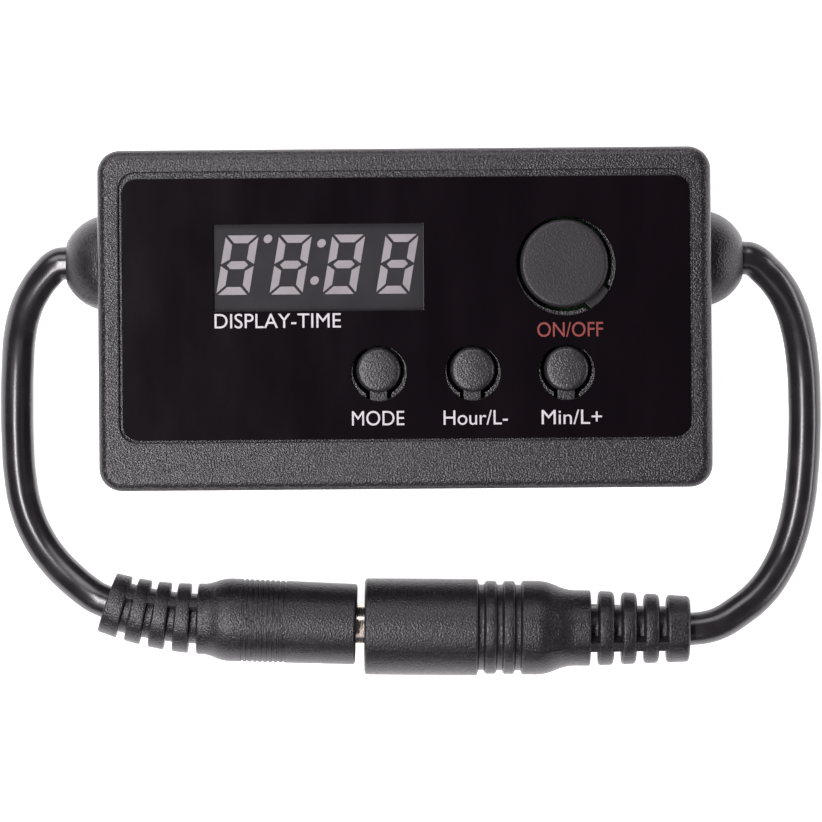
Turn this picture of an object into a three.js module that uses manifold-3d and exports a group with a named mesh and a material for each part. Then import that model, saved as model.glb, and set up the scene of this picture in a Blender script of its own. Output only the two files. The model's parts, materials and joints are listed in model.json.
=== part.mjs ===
// In-line timer for low-voltage lighting: a two-shell box with a four-digit display, one large and
// three small keys, and two short cords whose plug and socket are joined below the box.
//
// Sizes are in millimetres and angles in degrees. The box lies on its back with its face up: +X is
// to the right of the display, +Y towards the top of the face and +Z out of the face. The origin is
// the middle of the box's back.
import * as THREE from "three";
import { mergeVertices } from "three/addons/utils/BufferGeometryUtils.js";
import Module from "manifold-3d";

// ---- Housing ---------------------------------------------------------------------------------
const HOUSING_WIDTH = 72;
const HOUSING_HEIGHT = 40;
const HOUSING_DEPTH = 22;
const BACK_SHELL_DEPTH = 11; // the shells part here, through the middle of the cord bushes
const CORNER_RADIUS = 2.7;
const EDGE_RADIUS = 1;
const WALL = 1.8;
const FRONT_PLATE = 2;
const PARTING_GAP = 0.2;
const TONGUE_HEIGHT = 1.2;
const TONGUE_THICKNESS = 0.7;
const TONGUE_CLEARANCE = 0.15;
const BOSS_RADIUS = 2.6;
const BOSS_INSET = 4.2; // from the outside faces to a boss's axis
const POST_RADIUS = 2.2;
const BOSS_ROOT = 0.5; // how far bosses and posts run into the front plate

// ---- Label and display -----------------------------------------------------------------------
const LABEL_THICKNESS = 0.4;
const LABEL_RADIUS = 1.8;
const LABEL_INSET = { left: 2.8, right: 2.6, top: 3.4, bottom: 5.9 };
const RECESS_DEPTH = 0.6;
const RECESS_MARGIN = { left: 0.3, right: 0.3, top: 0.7, bottom: 0.25 }; // recess past the label
const WINDOW = { width: 24.6, height: 10.15, x: -10.1, y: 6.1 };
const PANE_CLEARANCE = 0.05;
const DISPLAY_MARGIN = 0.3; // the display's body past the window, each side
const DISPLAY_CLEARANCE = 0.2; // the cover's cut-out past the display's body
const DISPLAY_DEPTH = 6.1;
const DISPLAY_DROP = 0.1; // the display's face below the label's underside
const REFLECTOR_WALL = 0.8;
const REFLECTOR_FACE = 1;
const EPOXY_CLEARANCE = 0.05;
const DIGITS = { count: 4, pitch: 6.25, x: -0.2, y: 0.19, height: 6.93, width: 3.87, slant: 9.8 };
const SEGMENT = { thickness: 0.93, gap: 0.27 };
const DOT_RADIUS = 0.5;
const DOTS = [
  { x: -6.92, y: 3.1 }, // places from the middle of the four digits, before the slant
  { x: -0.04, y: 2.48 },
  { x: 0.02, y: -1.83 },
];
const HEADER = { width: 15.3, depth: 2.4, inset: 0.2 };

// ---- Keys and their switches -----------------------------------------------------------------
const KEY_GAP = 0.45; // between a cap and the cover's slot round it
const ARM_GAP = 0.45; // between an arm and its channel
const HINGE_GAP = 0.3;
const LABEL_HOLE_GAP = 0.65; // between a cap and the label's hole round it
const ARM_THICKNESS = 1;
const ARM_DROP = 0.1; // the arms' tops below the label's underside
const STEM_RADIUS = 1.6;
const CAP_EDGE = 0.4;
const LARGE_KEY = { radius: 5.15, rise: 1.4, armWidth: 3, armLength: 10.5, armAngle: -45 };
const SMALL_KEY = { radius: 2.6, rise: 1.1, armWidth: 2.07, armLength: 7, armAngle: -90 };
const SMALL_HOLE_SHIFT = { x: 0, y: -0.35 }; // the label's holes sit lower than the caps
const LARGE_HOLE_SHIFT = { x: 0.15, y: -0.25 };
const SMALL_ROW = { x: -3.14, y: -6.05, pitch: 11 };
const KEYS = [
  { name: "on_off", x: 18.7, y: 6.28, hole: LARGE_HOLE_SHIFT, ...LARGE_KEY },
  ...["mode", "hour", "minute"].map((name, i) => ({
    name,
    x: SMALL_ROW.x + i * SMALL_ROW.pitch,
    y: SMALL_ROW.y,
    hole: SMALL_HOLE_SHIFT,
    ...SMALL_KEY,
  })),
];
const SWITCH = { side: 6, bodyHeight: 3.5, height: 5, plungerRadius: 1.7, wellRadius: 2.05 };
const SWITCH_WELL_DEPTH = 2;
const PLUNGER_FLOAT = 0.7; // under a plunger at rest, more than its travel

// ---- Circuit board ---------------------------------------------------------------------------
const BOARD_THICKNESS = 1.6;
const BOARD_DROP = 8; // from the front plate's inside to the board
const BOARD_CLEARANCE = 0.5; // to the bosses at each end and to the long walls
const BOARD_RADIUS = 1;
const POST_INSET = 3.1; // from the board's edges to a post's axis
const CHIP = { x: -6, y: -4, length: 12.8, width: 7.5, height: 2.3, leads: 10, pitch: 1.27 };
const CHIP_STANDOFF = 0.2;
const CHIP_LEAD = { width: 0.42, reach: 1.3 }; // reach is past the package, to each side
const MOSFET = { x: 17, y: -8, length: 6.5, width: 6.1, height: 2.3, tab: 1.2, tabWidth: 3.7 };
const REGULATOR = { x: -21, y: -7, length: 4.5, width: 2.5, height: 1.5, tab: 1, tabWidth: 1.5 };
const DIODE = { x: 17, y: 9, length: 4.3, width: 2.6, height: 2.2, tab: 0.5, tabWidth: 1.6 };
const TAB_THICKNESS = 0.5;
const CAPACITOR = { x: 6, y: 8, radius: 3.15, height: 7, lift: 0.3, crimp: 0.35 };
const CRIMP_TOP = 1.05; // the can's groove ends this far above its base
const CRYSTAL = { x: -16, y: 7, radius: 1, length: 6 };

// ---- Screws ----------------------------------------------------------------------------------
const CASE_SCREW = { shank: 1, head: 1.9, headHeight: 1.4, grip: 6, sink: 0.3 };
const BOARD_SCREW = { shank: 0.75, head: 1.6, headHeight: 1.1, grip: 4 };
const PILOT_CLEARANCE = 0.1;
const HOLE_CLEARANCE = 0.3;
const RECESS_CROSS = { width: 0.45, length: 0.62, depth: 0.6 }; // length as a share of the head
const HEAD_CROWN = { radius: 0.8, height: 0.4 }; // a head's flat top and its crown, as shares of it

// ---- Cord bushes and inner wires -------------------------------------------------------------
const BUSH_Y = 7.1;
const BUSH = { neck: 3.8, flange: 5, flangeThickness: 1.5, base: 5.35, sphere: 5.5, end: 2.4 };
const BUSH_GAP = 0.3; // along the axis, to each side of the wall
const BUSH_HOLE_CLEARANCE = 0.3;
const DOME_STEPS = 6;
const WIRE_RADIUS = 0.65;
const WIRE_SPREAD = 1.9; // between the red and the black wire
const WIRE_END_GAP = 0.3;
const WIRE_ROUTE = {
  out: 1.6, // from the bush's inner face to the first bend
  drop: 1.2, // of that bend below the bush's axis
  under: 2.2, // below the board where the wire passes its edge
  sag: 0.3, // and lower still behind the edge
  edge: 1.2, // from the board's end to the three points under it
  low: 3.8,
  pad: 5.6,
};

// ---- Connectors ------------------------------------------------------------------------------
// Both share one axis. Their own frame starts at the socket's front face and runs along +X.
const CONNECTOR = { x: -5.13, y: -36.66, z: 5.9, angle: -0.88 };
const SOCKET = {
  radius: 5.8,
  bevel: 0.3,
  neckRadius: 5.65, // behind the grooves
  neckEnd: 21.6,
  coneEnd: 24.3,
  collarRadius: 4.55,
  collarEnd: 27.1,
};
const GROOVES = { start: 13.5, pitch: 2.2, width: 1, slope: 0.25, count: 3, depth: 0.65, ridge: 0.2 };
const SOCKET_RELIEF = { rings: [1.9, 1.8, 1.8, 2.8], gap: 0.9, end: 3.95, core: 2.7, web: -30 };
const PLUG = {
  mouthGap: 1, // the barrel that shows between the two mouldings
  frontRadius: 4.85,
  rearRadius: 5,
  bevel: 0.25,
  gripEnd: 15.9,
  coneEnd: 17.8,
  collarRadius: 4.25,
  collarEnd: 19.1,
  lift: 0.25, // the moulding's front off the connectors' axis
  lean: 1.6, // the moulding against that axis
  bend: 18.5, // and its last ring
};
const PLUG_RELIEF = { rings: [1.77, 1.77, 1.77, 2.15], gap: 0.9, end: 3.7, core: 3, web: -30 };
const WEB_WIDTH = 1.3;
const WEB_DROP = 0.15; // a web's edge below the ring behind it
const BARREL = { radius: 2.75, wall: 0.35, inSocket: 9, inPlug: 6 };
const LINER_WALL = 0.5; // the plastic tube inside the barrel
const PIN_RADIUS = 1.05;
const PIN_CLEARANCE = 0.1;
const BORE_CLEARANCE = 0.1;
const SLEEVE_WALL = 0.2;
const INSERT_WALL = 0.9;
const INSERT_BACK = 2;
const MOULDING_CLEARANCE = 0.15;
const BORE_DEPTH = 9.8;
const PIN_SETBACK = 1;
const PIN_TAIL = 2;

// ---- Cords -----------------------------------------------------------------------------------
const CORD_DIAMETER = 3.95;
const CORD_SIDES = 8;
const CORD_STEPS = 16;
const OUTPUT_CORD_POINTS = [
  [-40.35, 7.1, 11],
  [-41.2, 7.0, 10.9],
  [-42.8, 5.7, 10.3],
  [-44.4, 3.6, 9.3],
  [-45.4, 1.6, 8.2],
  [-46.2, -1.2, 6.6],
  [-46.65, -5.2, 4.9],
  [-46.85, -9.6, 3.7],
  [-46.85, -14.0, 3.1],
  [-46.6, -18.4, 2.9],
  [-45.9, -22.2, 3.05],
  [-44.5, -25.6, 3.5],
  [-42.5, -28.5, 4.15],
  [-40.2, -30.8, 4.9],
  [-38.1, -32.45, 5.6],
  [-37.3, -32.95, 5.8],
  [-36.45, -33.33, 5.9],
];
const INPUT_CORD_POINTS = [
  [40.35, 7.1, 11],
  [41.3, 6.98, 10.9],
  [43.1, 5.6, 10.2],
  [44.8, 3.7, 9.4],
  [46.1, 1.4, 8.3],
  [47.0, -1.2, 7.0],
  [47.75, -5.2, 5.3],
  [48.05, -9.9, 4.0],
  [48.05, -14.2, 3.3],
  [47.8, -18.6, 3.0],
  [47.25, -22.8, 2.95],
  [46.2, -26.8, 3.05],
  [44.6, -30.3, 3.4],
  [42.4, -33.2, 4.1],
  [39.6, -35.4, 4.9],
  [37.4, -36.65, 5.5],
  [35.7, -37.12, 5.8],
  [34.25, -37.26, 5.9],
];

// ---- Facets ----------------------------------------------------------------------------------
const CORNER_SIDES = 3; // on a quarter turn of a rounded corner
const EDGE_SIDES = 2; // on a quarter turn of a rounded edge
const LARGE_SIDES = 28;
const ROUND_SIDES = 20;
const SMALL_SIDES = 10;
const WIRE_SIDES = 6;
const WIRE_STEPS = 8;
const OVERCUT = 1; // how far a cutting shape runs past what it cuts

// ---- Derived levels --------------------------------------------------------------------------
const FACE = HOUSING_DEPTH;
const PLATE_INSIDE = FACE - FRONT_PLATE;
const RECESS_FLOOR = FACE - RECESS_DEPTH;
const LABEL_TOP = RECESS_FLOOR + LABEL_THICKNESS;
const ARM_TOP = RECESS_FLOOR - ARM_DROP;
const ARM_BOTTOM = ARM_TOP - ARM_THICKNESS;
const BOARD_TOP = PLATE_INSIDE - BOARD_DROP;
const BOARD_BOTTOM = BOARD_TOP - BOARD_THICKNESS;
const PLUNGER_TOP = BOARD_TOP + SWITCH.height;
const DISPLAY_FACE = RECESS_FLOOR - DISPLAY_DROP;
const HALF_WIDTH = HOUSING_WIDTH / 2;
const HALF_HEIGHT = HOUSING_HEIGHT / 2;
const BOARD_HALF_LENGTH = HALF_WIDTH - BOSS_INSET - BOSS_RADIUS - BOARD_CLEARANCE;
const BOARD_HALF_WIDTH = HALF_HEIGHT - WALL - TONGUE_THICKNESS - BOARD_CLEARANCE;
const SIGNS = [-1, 1];
const CORNERS = SIGNS.flatMap((sx) => SIGNS.map((sy) => [sx, sy]));
const CORNER_NAMES = ["lower_left", "upper_left", "lower_right", "upper_right"];
const BOSSES = CORNERS.map(([sx, sy]) => ({
  x: sx * (HALF_WIDTH - BOSS_INSET),
  y: sy * (HALF_HEIGHT - BOSS_INSET),
}));
const POSTS = CORNERS.map(([sx, sy]) => ({
  x: sx * (BOARD_HALF_LENGTH - POST_INSET),
  y: sy * (BOARD_HALF_WIDTH - POST_INSET),
}));

// ---- Finishes --------------------------------------------------------------------------------
const finish = (color, roughness, metalness = 0) =>
  new THREE.MeshStandardMaterial({ color, roughness, metalness });
const housingPlastic = () => finish(0x2b292b, 0.55);
const keyPlastic = () => finish(0x353337, 0.6);
const mouldedPvc = () => finish(0x242225, 0.6);
const cordPvc = () => finish(0x1c1a1d, 0.35);
const labelFilm = () => finish(0x120f13, 0.12);
const clearAcrylic = () => finish(0xd8d8d8, 0.05);
const displayFace = () => finish(0x46444a, 0.5);
const displayEpoxy = () => finish(0xb2acaa, 0.4);
const boardLaminate = () => finish(0x1d5a34, 0.5);
const blackPlastic = () => finish(0x151515, 0.5);
const whitePlastic = () => finish(0xd6d3cc, 0.5);
const steel = () => finish(0xb9b7b2, 0.3, 1);
const nickel = () => finish(0xcfc7b8, 0.22, 1);
const canAluminium = () => finish(0xc4c6c8, 0.35, 1);
const redWire = () => finish(0xa81c1c, 0.45);
const blackWire = () => finish(0x161616, 0.45);

// ---- Solids ----------------------------------------------------------------------------------
const wasm = await Module();
wasm.setup();
const radians = THREE.MathUtils.degToRad;

// A closed geometry as a solid that can be joined and cut.
function solid(geometry) {
  const bare = geometry.clone();
  bare.deleteAttribute("normal");
  bare.deleteAttribute("uv");
  const merged = mergeVertices(bare);
  const corners = merged.index.array;
  const triVerts = [];
  for (let i = 0; i < corners.length; i += 3) {
    const [a, b, c] = corners.subarray(i, i + 3);
    if (a !== b && b !== c && c !== a) triVerts.push(a, b, c);
  }
  return new wasm.Manifold(
    new wasm.Mesh({
      numProp: 3,
      vertProperties: merged.attributes.position.array,
      triVerts: new Uint32Array(triVerts),
    }),
  );
}

// A solid as a geometry, with each vertex passed through place where one is given.
function geometryOf(shape, place) {
  const mesh = shape.getMesh();
  const positions = [];
  const point = new THREE.Vector3();
  for (let i = 0; i < mesh.numVert; i++) {
    point.fromArray(mesh.vertProperties, i * mesh.numProp);
    if (place) place(point);
    positions.push(point.x, point.y, point.z);
  }
  const geometry = new THREE.BufferGeometry();
  geometry.setAttribute("position", new THREE.Float32BufferAttribute(positions, 3));
  geometry.setIndex([...mesh.triVerts]);
  return geometry.toNonIndexed();
}

const joined = (first, ...rest) => rest.reduce((sum, shape) => sum.add(shape), first);
const cut = (first, ...rest) => rest.reduce((left, shape) => left.subtract(shape), first);

function block([x0, x1], [y0, y1], [z0, z1]) {
  const box = new THREE.BoxGeometry(x1 - x0, y1 - y0, z1 - z0);
  return solid(box.translate((x0 + x1) / 2, (y0 + y1) / 2, (z0 + z1) / 2));
}

// A block of a width and a depth about a point, between two levels.
function blockAt({ x, y }, width, depth, levels) {
  return block([x - width / 2, x + width / 2], [y - depth / 2, y + depth / 2], levels);
}

// A round bar along Z at a point, between two levels.
function bar({ x, y }, radius, [z0, z1], sides = ROUND_SIDES) {
  const cylinder = new THREE.CylinderGeometry(radius, radius, z1 - z0, sides);
  return solid(cylinder.rotateX(Math.PI / 2).translate(x, y, (z0 + z1) / 2));
}

// A profile of [radius, distance along the axis] points, turned about Y and closed on the axis.
function lathe(profile, sides) {
  const points = profile.map(([radius, along]) => new THREE.Vector2(radius, along));
  return new THREE.LatheGeometry(points, sides);
}
const latheZ = (profile, sides = ROUND_SIDES) => solid(lathe(profile, sides).rotateX(Math.PI / 2));
const latheX = (profile, sides = ROUND_SIDES) => solid(lathe(profile, sides).rotateZ(-Math.PI / 2));

// A tube along X between two distances, with the same facets as the bar that runs inside it.
function tube(outer, inner, [from, to]) {
  const ring = [[inner, from], [outer, from], [outer, to], [inner, to], [inner, from]];
  return latheX(ring);
}

function roundedRectangle({ left, right, bottom, top }, radius) {
  const shape = new THREE.Shape();
  const quarter = Math.PI / 2;
  shape.absarc(right - radius, bottom + radius, radius, -quarter, 0);
  shape.absarc(right - radius, top - radius, radius, 0, quarter);
  shape.absarc(left + radius, top - radius, radius, quarter, 2 * quarter);
  shape.absarc(left + radius, bottom + radius, radius, 2 * quarter, 3 * quarter);
  shape.closePath();
  return shape;
}

// A rounded plate between two levels, with its top and bottom edges rounded where edge is given.
function plate(sides, radius, [z0, z1], edge = 0) {
  const inner = offset(sides, -edge);
  const geometry = new THREE.ExtrudeGeometry(roundedRectangle(inner, radius - edge), {
    depth: z1 - z0 - 2 * edge,
    curveSegments: CORNER_SIDES,
    bevelEnabled: edge > 0,
    bevelSize: edge,
    bevelThickness: edge,
    bevelSegments: EDGE_SIDES,
  });
  return solid(geometry.translate(0, 0, z0 + edge));
}

function offset({ left, right, bottom, top }, by) {
  return { left: left - by, right: right + by, bottom: bottom - by, top: top + by };
}

function centred(width, height, { x = 0, y = 0 } = {}) {
  return { left: x - width / 2, right: x + width / 2, bottom: y - height / 2, top: y + height / 2 };
}

const timer = new THREE.Group();
function add(name, shape, material, parent = timer, place) {
  const mesh = new THREE.Mesh(geometryOf(shape, place), material);
  mesh.name = name;
  parent.add(mesh);
  return mesh;
}

// ---- Housing ---------------------------------------------------------------------------------
const outline = centred(HOUSING_WIDTH, HOUSING_HEIGHT);
const insideOutline = offset(outline, -WALL);
const insideRadius = CORNER_RADIUS - WALL;
const labelOutline = {
  left: -HALF_WIDTH + LABEL_INSET.left,
  right: HALF_WIDTH - LABEL_INSET.right,
  bottom: -HALF_HEIGHT + LABEL_INSET.bottom,
  top: HALF_HEIGHT - LABEL_INSET.top,
};
const recessOutline = {
  left: labelOutline.left - RECESS_MARGIN.left,
  right: labelOutline.right + RECESS_MARGIN.right,
  bottom: labelOutline.bottom - RECESS_MARGIN.bottom,
  top: labelOutline.top + RECESS_MARGIN.top,
};
const windowOutline = centred(WINDOW.width, WINDOW.height, WINDOW);
const displayOutline = offset(windowOutline, DISPLAY_MARGIN);

// Holes through both side walls for the necks of the cord bushes.
function bushHoles() {
  const radius = BUSH.neck + BUSH_HOLE_CLEARANCE;
  const reach = HALF_WIDTH + OVERCUT;
  const bore = new THREE.CylinderGeometry(radius, radius, 2 * reach, ROUND_SIDES);
  return solid(bore.rotateZ(Math.PI / 2).translate(0, BUSH_Y, BACK_SHELL_DEPTH));
}

// A band that follows the inside of the walls, from their inner face outwards.
function innerBand(thickness, levels) {
  return plate(offset(insideOutline, thickness), insideRadius + thickness, levels);
}

// A key's arm, or with a gap round it the channel that the arm lies in.
function armBlock(key, gap, levels) {
  const length = key.armLength + gap;
  const arm = new THREE.BoxGeometry(length, key.armWidth + 2 * gap, levels[1] - levels[0]);
  arm.translate(length / 2, 0, (levels[0] + levels[1]) / 2);
  return solid(arm.rotateZ(radians(key.armAngle)).translate(key.x, key.y, 0));
}

function frontCover() {
  const body = plate(outline, CORNER_RADIUS, [0, FACE], EDGE_RADIUS);
  const start = BACK_SHELL_DEPTH + PARTING_GAP;
  const wide = [-HOUSING_WIDTH, HOUSING_WIDTH];
  const rebate = TONGUE_THICKNESS + TONGUE_CLEARANCE;
  const rebateTop = BACK_SHELL_DEPTH + TONGUE_HEIGHT + TONGUE_CLEARANCE;
  const shell = cut(
    body,
    block(wide, wide, [-OVERCUT, start]),
    plate(insideOutline, insideRadius, [WALL, PLATE_INSIDE]),
    innerBand(rebate, [start - OVERCUT, rebateTop]),
    plate(recessOutline, LABEL_RADIUS + RECESS_MARGIN.left, [RECESS_FLOOR, FACE + OVERCUT]),
    bushHoles(),
  );
  const bosses = BOSSES.map((at) => bar(at, BOSS_RADIUS, [BACK_SHELL_DEPTH, PLATE_INSIDE + BOSS_ROOT]));
  const posts = POSTS.map((at) => bar(at, POST_RADIUS, [BOARD_TOP, PLATE_INSIDE + BOSS_ROOT]));
  const through = [PLATE_INSIDE - OVERCUT, FACE];
  const { left, right, bottom, top } = offset(displayOutline, DISPLAY_CLEARANCE);
  const pilots = [
    ...BOSSES.map((at) => [at, CASE_SCREW, BACK_SHELL_DEPTH]),
    ...POSTS.map((at) => [at, BOARD_SCREW, BOARD_TOP]),
  ].map(([at, screw, level]) => {
    const levels = [level - OVERCUT, level + screw.grip + OVERCUT];
    return bar(at, screw.shank + PILOT_CLEARANCE, levels, SMALL_SIDES);
  });
  const slots = KEYS.flatMap((key) => [
    bar(key, key.radius + KEY_GAP, through, LARGE_SIDES),
    armBlock(key, ARM_GAP, through),
  ]);
  const opening = block([left, right], [bottom, top], through);
  return cut(joined(shell, ...bosses, ...posts), opening, ...slots, ...pilots);
}

function backCover() {
  const body = plate(outline, CORNER_RADIUS, [0, FACE], EDGE_RADIUS);
  const wide = [-HOUSING_WIDTH, HOUSING_WIDTH];
  const shell = cut(
    body,
    block(wide, wide, [BACK_SHELL_DEPTH, FACE + OVERCUT]),
    plate(insideOutline, insideRadius, [WALL, FACE]),
  );
  const tongueFoot = BACK_SHELL_DEPTH - TONGUE_HEIGHT;
  const tongueTop = BACK_SHELL_DEPTH + TONGUE_HEIGHT;
  const tongue = cut(
    innerBand(TONGUE_THICKNESS, [tongueFoot, tongueTop]),
    innerBand(0, [tongueFoot - OVERCUT, tongueTop + OVERCUT]),
    ...BOSSES.map((at) =>
      bar(at, BOSS_RADIUS + TONGUE_CLEARANCE, [BACK_SHELL_DEPTH, tongueTop + OVERCUT]),
    ),
  );
  const bosses = BOSSES.map((at) => bar(at, BOSS_RADIUS, [WALL / 2, BACK_SHELL_DEPTH]));
  const sinkDepth = CASE_SCREW.headHeight + CASE_SCREW.sink;
  const holes = BOSSES.flatMap((at) => [
    bar(at, CASE_SCREW.shank + HOLE_CLEARANCE, [-OVERCUT, FACE], SMALL_SIDES),
    bar(at, CASE_SCREW.head + HOLE_CLEARANCE, [-OVERCUT, sinkDepth], ROUND_SIDES),
  ]);
  return cut(joined(shell, tongue, ...bosses), bushHoles(), ...holes);
}

// ---- Label and display -----------------------------------------------------------------------
function labelOverlay() {
  const levels = [RECESS_FLOOR, LABEL_TOP];
  const through = [RECESS_FLOOR - OVERCUT, LABEL_TOP + OVERCUT];
  const { left, right, bottom, top } = windowOutline;
  const holes = KEYS.map((key) => {
    const at = { x: key.x + key.hole.x, y: key.y + key.hole.y };
    return bar(at, key.radius + LABEL_HOLE_GAP, through, LARGE_SIDES);
  });
  const sheet = plate(labelOutline, LABEL_RADIUS, levels);
  return cut(sheet, block([left, right], [bottom, top], through), ...holes);
}

function displayPane() {
  const { left, right, bottom, top } = offset(windowOutline, -PANE_CLEARANCE);
  return block([left, right], [bottom, top], [RECESS_FLOOR, LABEL_TOP]);
}

// One bar of a digit, lying along X about the origin with pointed ends.
function segmentOutline(length) {
  const [reach, half] = [length / 2, SEGMENT.thickness / 2];
  return [[-reach, 0], [half - reach, -half], [reach - half, -half], [reach, 0],
    [reach - half, half], [half - reach, half]];
}

// The seven bars of a digit about its middle, as lists of corners, leaning to the right.
function digitOutlines() {
  const wide = DIGITS.width / 2 - SEGMENT.thickness / 2;
  const high = DIGITS.height / 2 - SEGMENT.thickness / 2;
  const across = segmentOutline(2 * wide - SEGMENT.gap);
  const upright = segmentOutline(high - SEGMENT.gap).map(([x, y]) => [-y, x]);
  return [
    ...[-high, 0, high].map((y) => across.map(([px, py]) => [px, py + y])),
    ...CORNERS.map(([sx, sy]) =>
      upright.map(([px, py]) => [px + sx * wide, py + (sy * high) / 2]),
    ),
  ];
}

// Bars along Z of all the segments and dots, grown by a clearance, between two levels.
function lights(clearance, levels) {
  const lean = Math.tan(radians(DIGITS.slant));
  const middle = { x: WINDOW.x + DIGITS.x, y: WINDOW.y + DIGITS.y };
  const placed = (x, y) => new THREE.Vector2(middle.x + x + y * lean, middle.y + y);
  const bars = [];
  for (let i = 0; i < DIGITS.count; i++) {
    const x = (i - (DIGITS.count - 1) / 2) * DIGITS.pitch;
    for (const corners of digitOutlines()) {
      const [cx, cy] = [0, 1].map((k) => corners.reduce((sum, p) => sum + p[k], 0) / corners.length);
      const grown = corners.map(([px, py]) =>
        placed(x + px + clearance * Math.sign(px - cx), py + clearance * Math.sign(py - cy)),
      );
      const depth = levels[1] - levels[0];
      const prism = new THREE.ExtrudeGeometry(new THREE.Shape(grown), { depth, bevelEnabled: false });
      bars.push(solid(prism.translate(0, 0, levels[0])));
    }
  }
  for (const dot of DOTS) {
    bars.push(bar(placed(dot.x, dot.y), DOT_RADIUS + clearance, levels, SMALL_SIDES));
  }
  return bars;
}

function displayReflector() {
  const { left, right, bottom, top } = displayOutline;
  const back = DISPLAY_FACE - DISPLAY_DEPTH;
  const body = block([left, right], [bottom, top], [back, DISPLAY_FACE]);
  const inside = offset(displayOutline, -REFLECTOR_WALL);
  const hollow = block([inside.left, inside.right], [inside.bottom, inside.top],
    [back - OVERCUT, DISPLAY_FACE - REFLECTOR_FACE]);
  return cut(body, hollow, ...lights(EPOXY_CLEARANCE, [back, DISPLAY_FACE + OVERCUT]));
}

function displayLightGuide() {
  const { left, right, bottom, top } = offset(displayOutline, -REFLECTOR_WALL - EPOXY_CLEARANCE);
  const base = DISPLAY_FACE - REFLECTOR_FACE - EPOXY_CLEARANCE;
  const slab = block([left, right], [bottom, top], [DISPLAY_FACE - DISPLAY_DEPTH, base]);
  return joined(slab, ...lights(0, [base - OVERCUT, DISPLAY_FACE]));
}

// A strip of contacts that lifts the display off the board, along its upper or lower side.
function displayHeader(side) {
  const { bottom, top } = displayOutline;
  const edge = side > 0 ? top - HEADER.inset : bottom + HEADER.inset;
  const rows = side > 0 ? [edge - HEADER.depth, edge] : [edge, edge + HEADER.depth];
  const half = HEADER.width / 2;
  return block([WINDOW.x - half, WINDOW.x + half], rows, [BOARD_TOP, DISPLAY_FACE - DISPLAY_DEPTH]);
}

// ---- Keys and their switches -----------------------------------------------------------------
function keyCap(key) {
  const top = LABEL_TOP + key.rise;
  const edge = [];
  for (let i = 0; i <= EDGE_SIDES; i++) {
    const turn = (i / EDGE_SIDES) * (Math.PI / 2);
    const shrink = CAP_EDGE * (1 - Math.cos(turn));
    edge.push([key.radius - shrink, top - CAP_EDGE * (1 - Math.sin(turn))]);
  }
  const profile = [
    [0, PLUNGER_TOP],
    [STEM_RADIUS, PLUNGER_TOP],
    [STEM_RADIUS, ARM_BOTTOM],
    [key.radius, ARM_BOTTOM],
    ...edge,
    [0, top],
  ];
  const cap = latheZ(profile).translate([key.x, key.y, 0]);
  const arm = armBlock({ ...key, armLength: key.armLength - HINGE_GAP }, 0, [ARM_BOTTOM, ARM_TOP]);
  return cap.add(arm);
}

function switchBody(key) {
  const top = BOARD_TOP + SWITCH.bodyHeight;
  const body = blockAt(key, SWITCH.side, SWITCH.side, [BOARD_TOP, top]);
  const well = [top - SWITCH_WELL_DEPTH, top + OVERCUT];
  return cut(body, bar(key, SWITCH.wellRadius, well, SMALL_SIDES));
}

function switchPlunger(key) {
  const foot = BOARD_TOP + SWITCH.bodyHeight - SWITCH_WELL_DEPTH + PLUNGER_FLOAT;
  return bar(key, SWITCH.plungerRadius, [foot, PLUNGER_TOP], SMALL_SIDES);
}

// ---- Circuit board ---------------------------------------------------------------------------
function mainBoard() {
  const edges = centred(2 * BOARD_HALF_LENGTH, 2 * BOARD_HALF_WIDTH);
  const through = [BOARD_BOTTOM - OVERCUT, BOARD_TOP + OVERCUT];
  const holes = POSTS.map((at) => bar(at, BOARD_SCREW.shank + HOLE_CLEARANCE, through, SMALL_SIDES));
  return cut(plate(edges, BOARD_RADIUS, [BOARD_BOTTOM, BOARD_TOP]), ...holes);
}

// A flat package on the underside of the board, with a thin tab or pair of tabs along its length.
function flatPackage({ length, width, height, tab, tabWidth, ...at }) {
  const body = blockAt(at, length, width, [BOARD_BOTTOM - height, BOARD_BOTTOM]);
  const levels = [BOARD_BOTTOM - TAB_THICKNESS, BOARD_BOTTOM];
  return body.add(blockAt(at, length + 2 * tab, tabWidth, levels));
}

function microcontroller() {
  const { x, y, length, width, height, leads, pitch } = CHIP;
  const standoff = BOARD_BOTTOM - CHIP_STANDOFF;
  const body = blockAt({ x, y }, length, width, [BOARD_BOTTOM - height, standoff]);
  const pins = Array.from({ length: leads }, (_, i) => {
    const at = { x: x + (i - (leads - 1) / 2) * pitch, y };
    const across = width + 2 * CHIP_LEAD.reach;
    return blockAt(at, CHIP_LEAD.width, across, [BOARD_BOTTOM - height / 2, BOARD_BOTTOM]);
  });
  return cut(joined(body, ...pins), blockAt({ x, y }, length + pitch, width, [standoff, BOARD_TOP]));
}

function smoothingCapacitor() {
  const { radius, height, lift, crimp } = CAPACITOR;
  const [base, end] = [-lift, -lift - height];
  const profile = [
    [0, end],
    [radius - crimp, end],
    [radius, end + crimp],
    [radius, base - CRIMP_TOP],
    [radius - crimp, base - (CRIMP_TOP + crimp) / 2],
    [radius, base - crimp],
    [radius, base],
    [0, base],
  ];
  return latheZ(profile).translate([CAPACITOR.x, CAPACITOR.y, BOARD_BOTTOM]);
}

function clockCrystal() {
  const { x, y, radius, length } = CRYSTAL;
  const can = new THREE.CylinderGeometry(radius, radius, length, SMALL_SIDES);
  return solid(can.rotateZ(Math.PI / 2).translate(x, y, BOARD_BOTTOM - radius - HOLE_CLEARANCE));
}

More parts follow.
